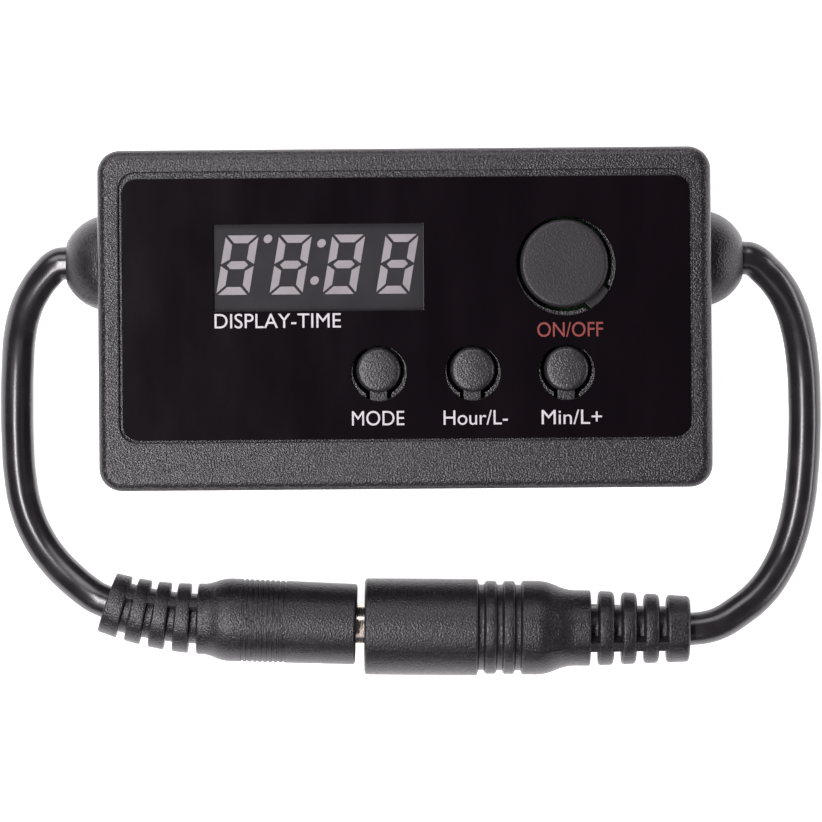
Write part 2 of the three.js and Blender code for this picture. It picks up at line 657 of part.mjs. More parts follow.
// ---- Screws ----------------------------------------------------------------------------------
// A pan-head screw that points up, with its head's seat at a level.
function screw({ shank, head, headHeight, grip }, at, seat, tip) {
  const foot = seat - headHeight;
  const profile = [
    [0, foot],
    [head * HEAD_CROWN.radius, foot],
    [head, foot + headHeight * HEAD_CROWN.height],
    [head, seat],
    [shank, seat],
    [shank, tip + grip - shank],
    [0, tip + grip],
  ];
  const { width, depth } = RECESS_CROSS;
  const reach = 2 * head * RECESS_CROSS.length;
  const levels = [foot - OVERCUT, foot + depth];
  const body = latheZ(profile, SMALL_SIDES).translate([at.x, at.y, 0]);
  return cut(body, blockAt(at, reach, width, levels), blockAt(at, width, reach, levels));
}

// ---- Cord bushes and inner wires -------------------------------------------------------------
const DOME_BASE = HALF_WIDTH + BUSH_GAP;
const dropAt = (radius) => Math.sqrt(BUSH.sphere ** 2 - radius ** 2);
const DOME_CENTRE = DOME_BASE - dropAt(BUSH.base);
const BUSH_INSIDE = HALF_WIDTH - WALL - BUSH_GAP - BUSH.flangeThickness;

function cordBush(side) {
  const from = Math.asin(BUSH.base / BUSH.sphere);
  const to = Math.asin(BUSH.end / BUSH.sphere);
  const dome = Array.from({ length: DOME_STEPS + 1 }, (_, i) => {
    const turn = from + ((to - from) * i) / DOME_STEPS;
    return [BUSH.sphere * Math.sin(turn), DOME_CENTRE + BUSH.sphere * Math.cos(turn)];
  });
  const inside = BUSH_INSIDE + BUSH.flangeThickness;
  const profile = [
    [0, BUSH_INSIDE],
    [BUSH.flange, BUSH_INSIDE],
    [BUSH.flange, inside],
    [BUSH.neck, inside],
    [BUSH.neck, DOME_BASE],
    ...dome,
    [0, dome.at(-1)[1]],
  ];
  const turned = lathe(profile, ROUND_SIDES).rotateZ(-Math.PI / 2);
  if (side < 0) turned.rotateZ(Math.PI);
  return solid(turned.translate(0, BUSH_Y, BACK_SHELL_DEPTH));
}

// A section with flat sides drawn along a smooth curve through points.
function drawnAlong(points, radius, sides, steps) {
  const section = new THREE.Shape();
  for (let i = 0; i < sides; i++) {
    const turn = (2 * Math.PI * (i + 0.5)) / sides;
    const [x, y] = [radius * Math.cos(turn), radius * Math.sin(turn)];
    if (i) section.lineTo(x, y);
    else section.moveTo(x, y);
  }
  const curve = new THREE.CatmullRomCurve3(
    points.map((p) => new THREE.Vector3(...p)),
    false,
    "centripetal",
  );
  return solid(new THREE.ExtrudeGeometry(section, { steps, extrudePath: curve }));
}

// A wire from a bush's inner face down under the board to its solder pad.
function innerWire(side, row) {
  const y = BUSH_Y + (row * WIRE_SPREAD) / 2;
  const start = BUSH_INSIDE - WIRE_END_GAP;
  const { out, drop, under, sag, edge, low, pad } = WIRE_ROUTE;
  const points = [
    [start, y, BACK_SHELL_DEPTH],
    [start - out, y, BACK_SHELL_DEPTH - drop],
    [BOARD_HALF_LENGTH - edge, y, BOARD_BOTTOM - under],
    [BOARD_HALF_LENGTH - low, y, BOARD_BOTTOM - under - sag],
    [BOARD_HALF_LENGTH - pad, y, BOARD_BOTTOM - WIRE_END_GAP],
  ].map(([x, ...rest]) => [side * x, ...rest]);
  return drawnAlong(points, WIRE_RADIUS, WIRE_SIDES, WIRE_STEPS);
}

// ---- Connectors ------------------------------------------------------------------------------
const connector = new THREE.Group();
connector.position.set(CONNECTOR.x, CONNECTOR.y, CONNECTOR.z);
connector.rotation.z = radians(CONNECTOR.angle);
timer.add(connector);

// The profile and the webs of a slotted strain relief that starts at a collar.
function relief({ rings, gap, end, core, web }, start, startRadius) {
  const length = rings.reduce((sum, ring) => sum + ring + gap, 0);
  const radiusAt = (along) => startRadius + ((end - startRadius) * (along - start)) / length;
  const profile = [];
  const webs = [];
  let along = start;
  for (const ring of rings) {
    const [from, to] = [along + gap, along + gap + ring];
    const height = 2 * (radiusAt(from) - WEB_DROP);
    profile.push([core, along], [core, from]);
    profile.push([radiusAt(from), from], [radiusAt(to), to]);
    const bridge = new THREE.BoxGeometry(gap + ring / 2, WEB_WIDTH, height);
    webs.push(solid(bridge.translate(along + gap / 2, 0, 0).rotateX(radians(-web))));
    along = to;
  }
  return { profile: [...profile, [0, along]], webs, length: along };
}

function socketMoulding() {
  const { radius, bevel, neckRadius, neckEnd, coneEnd, collarRadius, collarEnd } = SOCKET;
  const { profile, webs } = relief(SOCKET_RELIEF, collarEnd, collarRadius);
  const grooves = [];
  for (let i = 0; i < GROOVES.count; i++) {
    const from = GROOVES.start + i * GROOVES.pitch;
    const [before, after] = [i ? GROOVES.ridge : 0, i < GROOVES.count - 1 ? GROOVES.ridge : 0];
    grooves.push(
      [radius - before, from],
      [radius - GROOVES.depth, from + GROOVES.slope],
      [radius - GROOVES.depth, from + GROOVES.width - GROOVES.slope],
      [i < GROOVES.count - 1 ? radius - after : neckRadius, from + GROOVES.width],
    );
  }
  const body = latheX([
    [0, 0],
    [radius - bevel, 0],
    [radius, bevel],
    ...grooves,
    [neckRadius, neckEnd],
    [collarRadius, coneEnd],
    [collarRadius, collarEnd],
    ...profile,
  ]);
  const bore = INSERT_OUTER + MOULDING_CLEARANCE;
  const depth = BORE_DEPTH + INSERT_BACK + PIN_TAIL + MOULDING_CLEARANCE;
  return cut(joined(body, ...webs), tube(bore, 0, [-OVERCUT, depth]));
}

const SLEEVE_INNER = BARREL.radius + BORE_CLEARANCE;
const SLEEVE_OUTER = SLEEVE_INNER + SLEEVE_WALL;
const INSERT_INNER = SLEEVE_OUTER + BORE_CLEARANCE;
const INSERT_OUTER = INSERT_INNER + INSERT_WALL;

// The plastic cup inside the socket that carries its two contacts.
function socketInsert() {
  const back = BORE_DEPTH + INSERT_BACK;
  const hole = PIN_RADIUS + PIN_CLEARANCE;
  return latheX([
    [hole, BORE_DEPTH],
    [INSERT_INNER, BORE_DEPTH],
    [INSERT_INNER, 0],
    [INSERT_OUTER, 0],
    [INSERT_OUTER, back],
    [hole, back],
    [hole, BORE_DEPTH],
  ]);
}

function socketPin() {
  return latheX([
    [0, PIN_SETBACK],
    [PIN_RADIUS / 2, PIN_SETBACK],
    [PIN_RADIUS, PIN_SETBACK + PIN_RADIUS / 2],
    [PIN_RADIUS, BORE_DEPTH + INSERT_BACK + PIN_TAIL],
    [0, BORE_DEPTH + INSERT_BACK + PIN_TAIL],
  ]);
}

// Where a point of the straight plug moulding goes once the moulding leans and its relief is bent.
// Distances run back from the plug's front face.
const plugBend = radians(PLUG.bend - PLUG.lean);
function bentPlug(point) {
  const reliefLength = plugRelief.length - PLUG.collarEnd;
  const along = -PLUG.mouthGap - point.x;
  const straight = Math.min(along, PLUG.collarEnd);
  const turn = (Math.max(along - PLUG.collarEnd, 0) / reliefLength) * plugBend;
  const lean = radians(PLUG.lean);
  const radius = reliefLength / plugBend;
  const back = straight * Math.cos(lean) + radius * (Math.sin(lean + turn) - Math.sin(lean));
  const up = straight * Math.sin(lean) + radius * (Math.cos(lean) - Math.cos(lean + turn));
  const heading = lean + turn;
  point.set(
    -PLUG.mouthGap - back + point.y * Math.sin(heading),
    PLUG.lift + up + point.y * Math.cos(heading),
    point.z,
  );
}
const plugRelief = relief(PLUG_RELIEF, PLUG.collarEnd, PLUG.collarRadius);

// The plug's moulding, straight, turned round to run back from its front face. Its webs, drawn
// below the front line, come to lie above it.
function plugMoulding() {
  const { frontRadius, rearRadius, bevel, gripEnd, coneEnd, collarRadius, collarEnd } = PLUG;
  const body = latheX([
    [0, 0],
    [frontRadius - bevel, 0],
    [frontRadius, bevel],
    [rearRadius, gripEnd],
    [collarRadius, coneEnd],
    [collarRadius, collarEnd],
    ...plugRelief.profile,
  ]);
  const turned = joined(body, ...plugRelief.webs).rotate([0, 180, 0]);
  return turned.translate([-PLUG.mouthGap, 0, 0]);
}

// The hollow in the plug's moulding for its barrel, which stays straight.
function plugBore() {
  const depth = PLUG.mouthGap + BARREL.inPlug + MOULDING_CLEARANCE;
  return tube(BARREL.radius + MOULDING_CLEARANCE, 0, [-depth, OVERCUT]);
}

const barrelSpan = [-PLUG.mouthGap - BARREL.inPlug, BARREL.inSocket];
const BARREL_INNER = BARREL.radius - BARREL.wall;
const LINER_OUTER = BARREL_INNER - BORE_CLEARANCE;
const CONTACT_OUTER = LINER_OUTER - LINER_WALL - BORE_CLEARANCE;
const CONTACT_INNER = PIN_RADIUS + PIN_CLEARANCE;

// ---- The assembly ----------------------------------------------------------------------------
add("front_cover", frontCover(), housingPlastic());
add("back_cover", backCover(), housingPlastic());
add("label_overlay", labelOverlay(), labelFilm());
add("display_window", displayPane(), clearAcrylic());
add("display_reflector", displayReflector(), displayFace());
add("display_light_guide", displayLightGuide(), displayEpoxy());
add("display_header_upper", displayHeader(1), blackPlastic());
add("display_header_lower", displayHeader(-1), blackPlastic());

for (const key of KEYS) {
  add(`${key.name}_key`, keyCap(key), keyPlastic());
  add(`${key.name}_switch_plunger`, switchPlunger(key), whitePlastic());
  add(`${key.name}_switch_body`, switchBody(key), blackPlastic());
}

add("main_circuit_board", mainBoard(), boardLaminate());
add("microcontroller", microcontroller(), blackPlastic());
add("power_transistor", flatPackage(MOSFET), blackPlastic());
add("voltage_regulator", flatPackage(REGULATOR), blackPlastic());
add("input_diode", flatPackage(DIODE), blackPlastic());
add("smoothing_capacitor", smoothingCapacitor(), canAluminium());
add("clock_crystal", clockCrystal(), steel());

CORNER_NAMES.forEach((corner, i) => {
  const caseSeat = CASE_SCREW.headHeight + CASE_SCREW.sink;
  add(`case_screw_${corner}`, screw(CASE_SCREW, BOSSES[i], caseSeat, BACK_SHELL_DEPTH), steel());
  add(`board_screw_${corner}`, screw(BOARD_SCREW, POSTS[i], BOARD_BOTTOM, BOARD_TOP), steel());
});

for (const [name, side] of [["output", -1], ["input", 1]]) {
  add(`${name}_cord_bush`, cordBush(side), mouldedPvc());
  add(`${name}_wire_positive`, innerWire(side, 1), redWire());
  add(`${name}_wire_negative`, innerWire(side, -1), blackWire());
}

add("socket_moulding", socketMoulding(), mouldedPvc(), connector);
add("socket_insert", socketInsert(), blackPlastic(), connector);
add("socket_contact_sleeve", tube(SLEEVE_OUTER, SLEEVE_INNER, [PIN_SETBACK, BORE_DEPTH - PIN_SETBACK]),
  nickel(), connector);
add("socket_centre_pin", socketPin(), nickel(), connector);

const bentMoulding = solid(geometryOf(plugMoulding(), bentPlug));
add("plug_moulding", cut(bentMoulding, plugBore()), mouldedPvc(), connector);
add("plug_barrel", tube(BARREL.radius, BARREL_INNER, barrelSpan), nickel(), connector);
add("plug_barrel_liner", tube(LINER_OUTER, LINER_OUTER - LINER_WALL, barrelSpan), blackPlastic(),
  connector);
add("plug_centre_contact", tube(CONTACT_OUTER, CONTACT_INNER, barrelSpan), nickel(), connector);

const cordRadius = CORD_DIAMETER / 2;
add("output_cord", drawnAlong(OUTPUT_CORD_POINTS, cordRadius, CORD_SIDES, CORD_STEPS), cordPvc());
add("input_cord", drawnAlong(INPUT_CORD_POINTS, cordRadius, CORD_SIDES, CORD_STEPS), cordPvc());

export default timer;
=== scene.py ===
"""In-line timer for low-voltage lighting: finely made shells, keys, display, cords and connectors.

The shapes are drawn in millimetres with bmesh operators and made in metres, in the frame's own
axes: the box lies on its back, +X is to the right of the display, +Y is towards the top of the
face and +Z out of the face. Levels and places come from the frame's nodes.
"""

import json
import logging
import math
from collections.abc import Callable, Iterable, Sequence
from dataclasses import dataclass
from enum import Enum

import bmesh
import bpy
from mathutils import Matrix, Vector


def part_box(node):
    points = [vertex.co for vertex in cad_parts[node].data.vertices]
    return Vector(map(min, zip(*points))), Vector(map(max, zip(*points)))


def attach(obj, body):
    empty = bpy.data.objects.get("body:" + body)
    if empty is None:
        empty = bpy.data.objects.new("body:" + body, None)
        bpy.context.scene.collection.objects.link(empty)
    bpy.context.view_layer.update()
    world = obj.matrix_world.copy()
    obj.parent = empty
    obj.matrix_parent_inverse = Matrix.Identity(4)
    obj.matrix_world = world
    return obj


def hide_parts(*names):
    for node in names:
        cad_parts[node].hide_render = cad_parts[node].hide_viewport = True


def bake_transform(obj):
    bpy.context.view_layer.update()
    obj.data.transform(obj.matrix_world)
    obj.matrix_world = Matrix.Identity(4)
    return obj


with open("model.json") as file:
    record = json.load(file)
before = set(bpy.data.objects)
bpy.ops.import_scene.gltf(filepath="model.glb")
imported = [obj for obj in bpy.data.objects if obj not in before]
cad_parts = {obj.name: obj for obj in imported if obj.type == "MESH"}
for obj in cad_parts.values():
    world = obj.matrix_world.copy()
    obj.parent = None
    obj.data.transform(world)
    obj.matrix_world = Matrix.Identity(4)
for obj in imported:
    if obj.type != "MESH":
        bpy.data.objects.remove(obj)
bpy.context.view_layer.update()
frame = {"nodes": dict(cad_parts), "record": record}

log = logging.getLogger("timer")

MM = 0.001  # shapes are drawn in millimetres
ROUND_STEPS = 96
SHARP = math.radians(32)  # edges sharper than this keep a crease
FLAT = math.radians(5)  # edges flatter than this lie inside a flat face
TOUCH = 0.001  # how near a point lies to the level that it is on
WELD = 0.0005  # points nearer than this are one
PAST = 1.0  # how far a cutting shape runs past what it cuts
CAPITAL_HEIGHT = 0.7  # of the plain typeface at its unit size
INK_DEPTH = 0.004  # of the printing at its unit size, and its lift over the label
INK_WELD = 0.0001
LABEL_CORNER = 1.8
PLAIN_BODY = "housing"
PLUG_BODY = "plug"


class Side(Enum):
    """The two ends of the box, by the direction of X."""

    OUTPUT = -1
    INPUT = 1


class Join(Enum):
    """How one shape is combined with another."""

    ADD = "UNION"
    CUT = "DIFFERENCE"
    COMMON = "INTERSECT"


def box_of(node: str) -> tuple[Vector, Vector]:
    """Gives a frame node's corners in millimetres.

    Args:
        node: the node's name.

    Returns:
        The lowest and the highest corner.
    """
    low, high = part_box(node)
    return low / MM, high / MM


def in_scene(name: str, data: bpy.types.ID) -> bpy.types.Object:
    """Makes an object of its data and links it to the scene.

    Args:
        name: the object's name.
        data: its mesh, lamp or camera.

    Returns:
        The object.
    """
    thing = bpy.data.objects.new(name, data)
    bpy.context.scene.collection.objects.link(thing)
    return thing


# ---- Drawing ---------------------------------------------------------------------------------


@dataclass(frozen=True)
class Outline:
    """A rectangle with rounded corners, seen from the front, in millimetres."""

    left: float
    right: float
    bottom: float
    top: float
    radius: float = 0.0

    def grown(self, by: float) -> "Outline":
        """Gives the outline moved outwards, with its corners' radius grown as much."""
        return Outline(self.left - by, self.right + by, self.bottom - by, self.top + by, self.radius + by)

    @classmethod
    def of(cls, node: str, radius: float = 0.0) -> "Outline":
        """Gives the outline of a frame node."""
        low, high = box_of(node)
        return cls(low.x, high.x, low.y, high.y, radius)


@dataclass(frozen=True)
class Corner:
    """A corner of a turned profile: how far along the axis, how far from it, and its rounding."""

    along: float
    radius: float
    round: float = 0.0


class Shape:
    """A closed shape being drawn in millimetres."""

    def __init__(self) -> None:
        """Starts an empty shape."""
        self.bm = bmesh.new()

    @classmethod
    def block(cls, low: Sequence[float], high: Sequence[float], edge: float = 0.0) -> "Shape":
        """Makes a box between two corners.

        Args:
            low: its lowest corner.
            high: its highest corner.
            edge: the rounding of all its edges.

        Returns:
            The box.
        """
        shape = cls()
        bmesh.ops.create_cube(shape.bm, size=1.0)
        sizes = [b - a for a, b in zip(low, high)]
        bmesh.ops.scale(shape.bm, vec=sizes, verts=shape.bm.verts)
        bmesh.ops.translate(shape.bm, vec=[(a + b) / 2 for a, b in zip(low, high)], verts=shape.bm.verts)
        if edge:
            shape.round_edges(lambda a, b: True, edge, steps=2)
        return shape

    @classmethod
    def slab(cls, outline: Outline, levels: Sequence[float], steps: int = 10) -> "Shape":
        """Makes a plate with rounded corners between two levels.

        Args:
            outline: its outline.
            levels: its lower and upper level.
            steps: the facets on a corner's quarter turn.

        Returns:
            The plate.
        """
        low, high = (outline.left, outline.bottom, levels[0]), (outline.right, outline.top, levels[1])
        shape = cls.block(low, high)
        if outline.radius > 0:
            shape.round_edges(lambda a, b: abs(a.z - b.z) > TOUCH, outline.radius, steps)
        return shape

    @classmethod
    def rod(cls, x: float, y: float, radius: float, levels: Sequence[float], steps: int = 64) -> "Shape":
        """Makes a round bar along Z.

        Args:
            x: its axis across the face.
            y: its axis up the face.
            radius: its radius.
            levels: its lower and upper level.
            steps: the facets on its turn.

        Returns:
            The bar.
        """
        shape = cls()
        bmesh.ops.create_cone(shape.bm, cap_ends=True, segments=steps, radius1=radius, radius2=radius,
                              depth=levels[1] - levels[0])
        bmesh.ops.translate(shape.bm, vec=(x, y, sum(levels) / 2), verts=shape.bm.verts)
        return shape

    @classmethod
    def turned(cls, corners: Sequence[Corner], closed: bool = False, steps: int = ROUND_STEPS) -> "Shape":
        """Turns a profile about X.

        Args:
            corners: the profile, from the axis and back to it.
            closed: whether the profile is a loop off the axis.
            steps: the facets on the full turn.

        Returns:
            The turned solid.
        """
        shape = cls()
        bm = shape.bm
        verts = [bm.verts.new((c.along, 0.0, c.radius)) for c in corners]
        for a, b in zip(verts, verts[1:] + verts[:1] if closed else verts[1:]):
            bm.edges.new((a, b))
        for corner, vert in zip(corners, verts):
            if corner.round:
                bmesh.ops.bevel(bm, geom=[vert], offset=corner.round, offset_type="OFFSET",
                                affect="VERTICES", segments=4, profile=0.5, material=-1)
        bmesh.ops.spin(bm, geom=bm.verts[:] + bm.edges[:], cent=(0, 0, 0), axis=(1, 0, 0),
                       dvec=(0, 0, 0), angle=2 * math.pi, steps=steps, use_merge=True,
                       use_duplicate=False)
        bmesh.ops.remove_doubles(bm, verts=bm.verts, dist=WELD)
        bmesh.ops.recalc_face_normals(bm, faces=bm.faces)
        return shape

    @classmethod
    def of_curve(cls, curve: bpy.types.Curve, weld: float = WELD) -> "Shape":
        """Makes a curve a shape with its doubles merged, and removes the curve.

        Args:
            curve: the curve.
            weld: how near two points are to be one.

        Returns:
            The shape.
        """
        mesh = bpy.data.meshes.new_from_object(bpy.data.objects.new("scratch", curve))
        bpy.data.curves.remove(curve)
        shape = cls()
        shape.bm.from_mesh(mesh)
        bpy.data.meshes.remove(mesh)
        bmesh.ops.remove_doubles(shape.bm, verts=shape.bm.verts, dist=weld)
        return shape

    def round_edges(self, chosen: Callable[[Vector, Vector], bool], width: float, steps: int) -> "Shape":
        """Rounds some of the shape's edges, leaving out those inside a flat face.

        Args:
            chosen: says from an edge's two ends whether it is rounded.
            width: the rounding's radius.
            steps: the facets on it.

        Returns:
            The shape itself.
        """
        edges = [e for e in self.bm.edges
                 if chosen(e.verts[0].co, e.verts[1].co) and e.calc_face_angle(0.0) > FLAT]
        bmesh.ops.bevel(self.bm, geom=edges, offset=width, offset_type="OFFSET", affect="EDGES",
                        segments=steps, profile=0.5, material=-1)
        return self

    def placed(self, matrix: Matrix) -> "Shape":
        """Moves or turns the shape, and gives it back."""
        bmesh.ops.transform(self.bm, matrix=matrix, verts=self.bm.verts)
        return self

    def mapped(self, rule: Callable[[Vector], Vector]) -> "Shape":
        """Moves each of the shape's points by a rule, and gives the shape back.

        Args:
            rule: gives where a point goes.

        Returns:
            The shape itself.
        """
        for vert in self.bm.verts:
            vert.co = rule(vert.co)
        return self

    def _as_object(self) -> bpy.types.Object:
        """Gives the shape as a scratch object.

        Returns:
            The object.
        """
        mesh = bpy.data.meshes.new("scratch")
        self.bm.to_mesh(mesh)
        return in_scene("scratch", mesh)

    def combined(self, join: Join, others: Iterable["Shape"]) -> "Shape":
        """Joins the shape to others, cuts it by them, or keeps what it shares with them.

        Args:
            join: which of the three.
            others: the other shapes.

        Returns:
            The shape itself.
        """
        target = self._as_object()
        tools = [other._as_object() for other in others]
        for tool in tools:
            modifier = target.modifiers.new("combine", "BOOLEAN")
            modifier.operation = join.value
            modifier.solver = "MANIFOLD"
            modifier.object = tool
        bpy.context.view_layer.update()
        graph = bpy.context.evaluated_depsgraph_get()
        result = bpy.data.meshes.new_from_object(target.evaluated_get(graph))
        self.bm.clear()
        self.bm.from_mesh(result)
        bmesh.ops.remove_doubles(self.bm, verts=self.bm.verts, dist=WELD)
        for mesh in [result, *(thing.data for thing in [target, *tools])]:
            bpy.data.meshes.remove(mesh)
        return self

    def cut(self, *others: "Shape") -> "Shape":
        """Cuts the other shapes out of this one."""
        return self.combined(Join.CUT, others)

    def add(self, *others: "Shape") -> "Shape":
        """Joins the other shapes to this one."""
        return self.combined(Join.ADD, others)

    def common(self, other: "Shape") -> "Shape":
        """Keeps what this shape shares with another."""
        return self.combined(Join.COMMON, [other])

    def finished(self, name: str, finish: "Finish", body: str | None, slot: str | None = None,
                 replaces: Sequence[str] = (), weighted: bool = True) -> bpy.types.Object:
        """Makes the shape a piece of the object, and reports it.

        Args:
            name: the piece's name.
            finish: its material.
            body: the frame body that it rides on, or None where it rides on none.
            slot: the record's material slot; not used.
            replaces: the frame nodes that it stands for.
            weighted: whether large flat faces keep their rounded rims' shading even.

        Returns:
            The piece.
        """
        bmesh.ops.scale(self.bm, vec=(MM, MM, MM), verts=self.bm.verts)
        for face in self.bm.faces:
            face.smooth = True
        for edge in self.bm.edges:
            edge.smooth = edge.is_manifold and edge.calc_face_angle(0.0) < SHARP
        mesh = bpy.data.meshes.new(name)
        self.bm.to_mesh(mesh)
        self.bm.free()
        mesh.materials.append(finish.material())
        piece = in_scene(name, mesh)
        if weighted:
            modifier = piece.modifiers.new("shading", "WEIGHTED_NORMAL")
            modifier.keep_sharp = True
        if body:
            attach(piece, body)
        if replaces:
            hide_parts(*replaces)
        log.info("%-28s %6d faces", piece.name, len(piece.data.polygons))
        return piece


# ---- Finishes --------------------------------------------------------------------------------

Colour = tuple[float, float, float]
Output = bpy.types.NodeSocket


class Nodes:
    """The nodes of one material, round its Principled shader."""

    def __init__(self, name: str, roughness: float, metallic: float = 0.0) -> None:
        """Starts a material.

        Args:
            name: its name.
            roughness: the shader's roughness, where nothing varies it.
            metallic: the shader's metalness.
        """
        self.material = bpy.data.materials.new(name)
        self.material.use_nodes = True
        self.tree = self.material.node_tree
        self.shader = self.tree.nodes["Principled BSDF"]
        self.shader.inputs["Roughness"].default_value = roughness
        self.shader.inputs["Metallic"].default_value = metallic
        self.place = self.tree.nodes.new("ShaderNodeTexCoord").outputs["Object"]

    def link(self, output: Output, node: bpy.types.Node, socket: str | int) -> None:
        """Links an output to a node's input."""
        self.tree.links.new(output, node.inputs[socket])

    def stretched(self, scale: Colour, turn: Colour = (0.0, 0.0, 0.0)) -> Output:
        """Gives the place in the piece, scaled and turned.

        Args:
            scale: the scale along each axis.
            turn: the turn about each axis, in radians.

        Returns:
            The vector output.
        """
        node = self.tree.nodes.new("ShaderNodeMapping")
        node.inputs["Scale"].default_value = scale
        node.inputs["Rotation"].default_value = turn
        self.link(self.place, node, "Vector")
        return node.outputs["Vector"]

    def noise(self, size: float, detail: float = 2.0, roughness: float = 0.5,
              place: Output | None = None) -> Output:
        """Gives a noise.

        Args:
            size: the size of its grains, in millimetres.
            detail: its finer layers.
            roughness: how strong those are.
            place: where it is read, if not the place in the piece.

        Returns:
            The noise's value.
        """
        node = self.tree.nodes.new("ShaderNodeTexNoise")
        node.inputs["Scale"].default_value = 1 / (size * MM)
        node.inputs["Detail"].default_value = detail
        node.inputs["Roughness"].default_value = roughness
        self.link(place or self.place, node, "Vector")
        return node.outputs["Fac"]

    def ramp(self, value: Output, stops: Sequence[tuple[float, Colour]]) -> Output:
        """Turns a value into a colour.

        Args:
            value: the value.
            stops: values with the colours that they give.

        Returns:
            The colour.
        """
        node = self.tree.nodes.new("ShaderNodeValToRGB")
        elements = node.color_ramp.elements
        while len(elements) < len(stops):
            elements.new(0.5)
        for element, (position, colour) in zip(elements, stops):
            element.position = position
            element.color = (*colour, 1.0)
        self.link(value, node, "Fac")
        return node.outputs["Color"]

    def range(self, value: Output, start: Sequence[float], end: Sequence[float]) -> Output:
        """Maps a value from one range to another.

        Args:
            value: the value.
            start: the range that it comes from.
            end: the range that it goes to.

        Returns:
            The mapped value.
        """
        node = self.tree.nodes.new("ShaderNodeMapRange")
        for socket, number in zip(node.inputs[1:5], (*start, *end)):
            socket.default_value = number
        self.link(value, node, "Value")
        return node.outputs["Result"]

    def mixed(self, share: Output, under: Output, over: Colour) -> Output:
        """Mixes a plain colour over another by a share.

        Args:
            share: the plain colour's share.
            under: the other colour.
            over: the plain colour.

        Returns:
            The mixed colour.
        """
        node = self.tree.nodes.new("ShaderNodeMix")
        node.data_type = "RGBA"
        self.link(share, node, 0)
        self.link(under, node, 6)
        node.inputs[7].default_value = (*over, 1.0)
        return node.outputs[2]

    def bump(self, height: Output, depth: float, under: Output | None = None) -> Output:
        """Gives a relief of a depth in millimetres, over another where one is given.

        Args:
            height: the height, from 0 to 1.
            depth: the depth.
            under: the relief that it lies on.

        Returns:
            The normal.
        """
        node = self.tree.nodes.new("ShaderNodeBump")
        node.inputs["Strength"].default_value = 1.0
        node.inputs["Distance"].default_value = depth * MM
        self.link(height, node, "Height")
        if under:
            self.link(under, node, "Normal")
        self.link(node.outputs["Normal"], self.shader, "Normal")
        return node.outputs["Normal"]

    def colour(self, output: Output) -> None:
        """Sets the shader's colour."""
        self.link(output, self.shader, "Base Color")

    def roughness(self, output: Output) -> None:
        """Sets the shader's roughness."""
        self.link(output, self.shader, "Roughness")


MADE: dict[str, bpy.types.Material] = {}  # the finishes' materials, by name


@dataclass(frozen=True)
class Finish:
    """A finish that pieces share. Each kind says how its nodes are made."""

    name: str
    colour: Colour

    def tint(self, share: float) -> Colour:
        """Gives the finish's colour, darker or lighter by a share."""
        return tuple(min(1.0, share * c) for c in self.colour)

    def dress(self) -> Nodes:
        """Makes the finish's nodes."""
        raise NotImplementedError

    def material(self) -> bpy.types.Material:
        """Gives the finish's material, made once.

        Returns:
            The material.
        """
        if self.name not in MADE:
            MADE[self.name] = self.dress().material
        return MADE[self.name]


@dataclass(frozen=True)
class GrainedPlastic(Finish):
    """Moulded plastic with a spark-eroded grain, whose tops are polished a little by handling."""

    fleck: Colour
    grain: float = 0.22
    depth: float = 0.02
    rough: tuple[float, float] = (0.42, 0.62)
    specular: float = 0.5

    def dress(self) -> Nodes:
        """Makes a grain in colour, roughness and relief.

        Returns:
            The nodes.
        """
        nodes = Nodes(self.name, self.rough[0])
        nodes.shader.inputs["Specular IOR Level"].default_value = self.specular
        grain = nodes.noise(self.grain, detail=1.5, roughness=0.5)
        patches = nodes.noise(size=6.0, detail=2.0)
        body = nodes.ramp(patches, [(0.3, self.tint(0.8)), (0.7, self.colour)])
        share = nodes.range(grain, (0.52, 0.64), (0.0, 1.0))
        nodes.colour(nodes.mixed(share, body, self.fleck))
        nodes.roughness(nodes.range(grain, (0.3, 0.7), self.rough[::-1]))
        nodes.bump(grain, self.depth)
        return nodes


@dataclass(frozen=True)
class GlossFilm(Finish):
    """Gloss label film with a faint orange peel and the dullness of handling."""

    rough: tuple[float, float] = (0.11, 0.14)

    def dress(self) -> Nodes:
        """Makes a smooth black with slow changes of gloss.

        Returns:
            The nodes.
        """
        nodes = Nodes(self.name, self.rough[0])
        smear = nodes.noise(size=5.0, detail=4.0, place=nodes.stretched((1.0, 0.35, 1.0)))
        nodes.roughness(nodes.range(smear, (0.35, 0.7), self.rough))
        nodes.colour(nodes.ramp(smear, [(0.35, self.tint(0.75)), (0.65, self.colour)]))
        nodes.bump(nodes.noise(size=1.4, detail=1.0), 0.0006)
        return nodes


@dataclass(frozen=True)
class CordJacket(Finish):
    """Drawn cord jacket: satin, with slow swells and fine pits."""

    rough: tuple[float, float] = (0.23, 0.29)
    specular: float = 0.7

    def dress(self) -> Nodes:
        """Makes a satin black with fine pits.

        Returns:
            The nodes.
        """
        nodes = Nodes(self.name, self.rough[0])
        nodes.shader.inputs["Specular IOR Level"].default_value = self.specular
        pits = nodes.noise(size=0.12, detail=1.0, roughness=0.5)
        slow = nodes.noise(size=3.5, detail=2.0)
        nodes.colour(nodes.ramp(slow, [(0.35, self.colour), (0.7, self.tint(1.5))]))
        nodes.roughness(nodes.range(slow, (0.3, 0.7), self.rough))
        under = nodes.bump(slow, 0.012)
        nodes.bump(pits, 0.0015, under)
        return nodes


